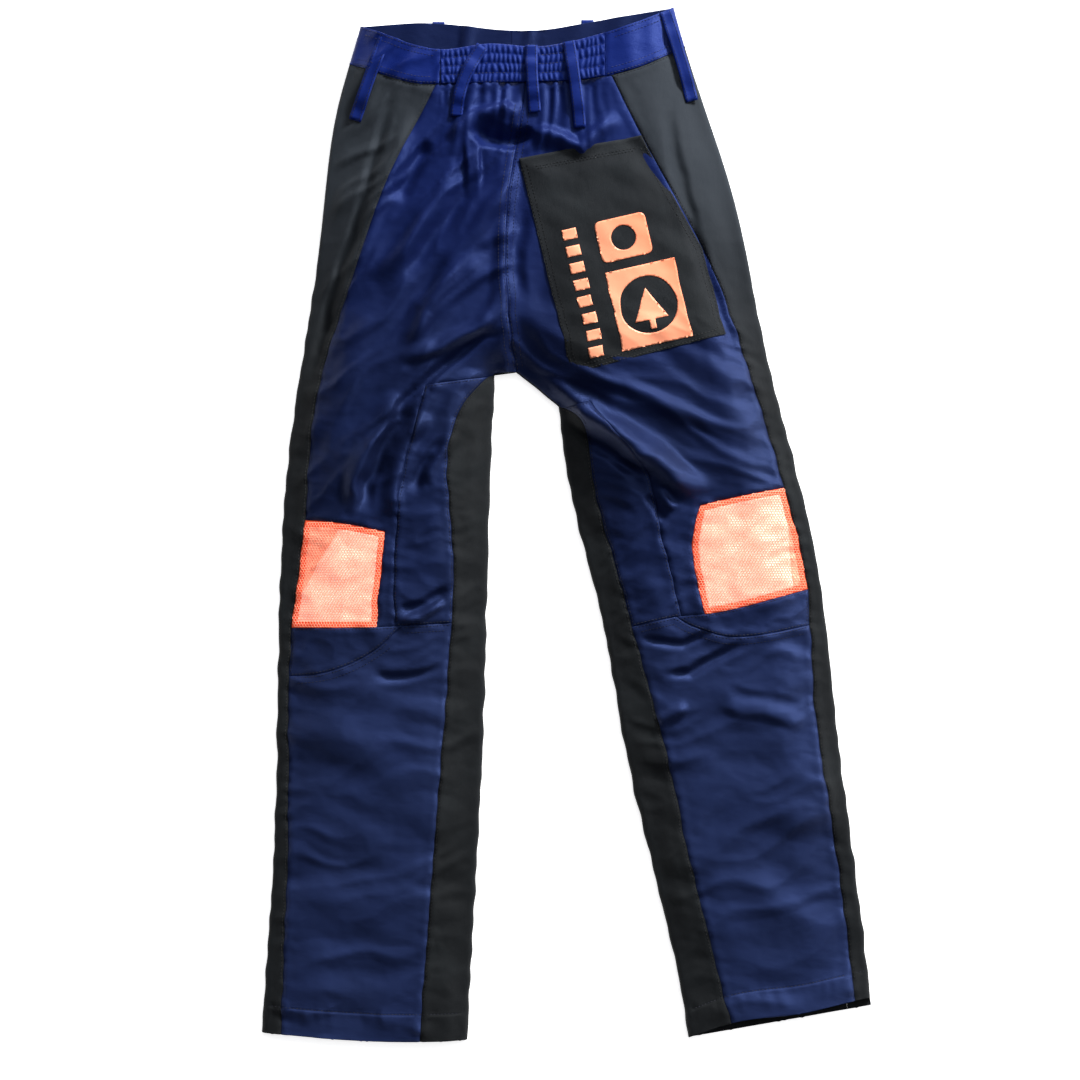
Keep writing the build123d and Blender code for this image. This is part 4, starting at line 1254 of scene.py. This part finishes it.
def centreBack(loop, way):
    near = (np.abs(loop[:, 0] + 52) < 22) & (loop[:, 1] > 150) & (loop[:, 1] < 440)
    return near & (np.abs(way[:, 1]) > 0.8)


def mouthAway(loop):
    return np.abs(lineDistance(loop[:, 0], loop[:, 1], pocket["mouth"]))


def makeStitches():
    stores = {name: {"points": [], "faces": []} for name in ("navyThread", "blueThread", "darkThread")}

    def row(node, distance, chosen, thread):
        raised = max(offsetOf(node), 0.0)
        for loop in upperLoops[node]:
            for run in runsBeside(loop, distance, chosen):
                dashes(run, lambda x, y: topHeight(x, y) + raised + 0.1, stores[thread])

    for side in sides:
        for distance in (1.9, 7.5):
            row(f"calf_panel_{side}", distance, lambda l, w: levelHere(l, w) & (l[:, 1] > -200), "navyThread")
            row(f"waistband_{side}", distance, lambda l, w: np.abs(w[:, 0]) > 0.5, "blueThread")
        hemLine = hemPoints[side]
        xs = np.arange(hemLine[0, 0] + 6, hemLine[-1, 0] - 5, 2.0)
        dashes(np.column_stack((xs, hemAt(xs) + 29.0)), lambda x, y: topHeight(x, y) + 0.15,
               stores["navyThread"])
        row(f"side_panel_{side}", 1.9, lambda l, w: seamHere(l, w) & (l[:, 1] > -480), "darkThread")
        row(f"vent_yoke_{side}", 1.9, seamHere, "navyThread")
        row(f"thigh_gusset_{side}", 1.9, seamHere, "navyThread")
        for distance in (1.9, 7.5):
            row(f"seat_panel_{side}", distance, centreBack, "navyThread")
        row(f"inner_leg_panel_{side}", 1.9, lambda l, w: seamHere(l, w) & (l[:, 1] > -505), "darkThread")
    for part in range(elastic["channels"] + 1):
        xs = np.arange(elastic["low"] + 2, elastic["high"] - 1, 2.0)
        foot, top = footOf(xs), topOf(xs)
        ys = foot + (top - foot) * min(max(part / elastic["channels"], 0.035), 0.965)
        dashes(np.column_stack((xs, ys)),
               lambda x, y: topHeight(x, y, detail=False) + offsetOf("elastic_casing_outer") + 0.1,
               stores["blueThread"])
    pocketRows = ((1.8, lambda l, w: mouthAway(l) > 8), (6.5, lambda l, w: mouthAway(l) > 8),
                  (12.0, lambda l, w: mouthAway(l) < 6), (14.5, lambda l, w: mouthAway(l) < 6))
    for distance, chosen in pocketRows:
        for run in runsBeside(pocketLoop, distance, chosen):
            dashes(run, lambda x, y: pocketHeight(x, y) + 0.1, stores["darkThread"])
    for shape in stripShapes:
        for column in (1, 5):
            strip = shape[:, column]
            order = np.argsort(strip[:, 1])
            dashes(strip[:, :2], lambda x, y, s=strip[order]: np.interp(y, s[:, 1], s[:, 2]) + 0.08,
                   stores["navyThread"])
    for thread, slotName in (("navyThread", "navy_twill"), ("blueThread", "royal_twill"),
                             ("darkThread", "charcoal_shell")):
        piece = makeMesh(f"stitches-{thread}", stores[thread]["points"], stores[thread]["faces"], thread)


makeStitches()
print("stitches made")

# the metal pieces keep their shape and get their finish
metals = {"brass": ["zip_teeth_left", "zip_teeth_right", "zip_slider", "zip_pull", "zip_top_stops",
                    "zip_bottom_stop"], "steel": ["waist_button", "button_tack"]}
for finish, kept in metals.items():
    for node in kept:
        for place in nodes[node].material_slots:
            place.material = finishes[finish]
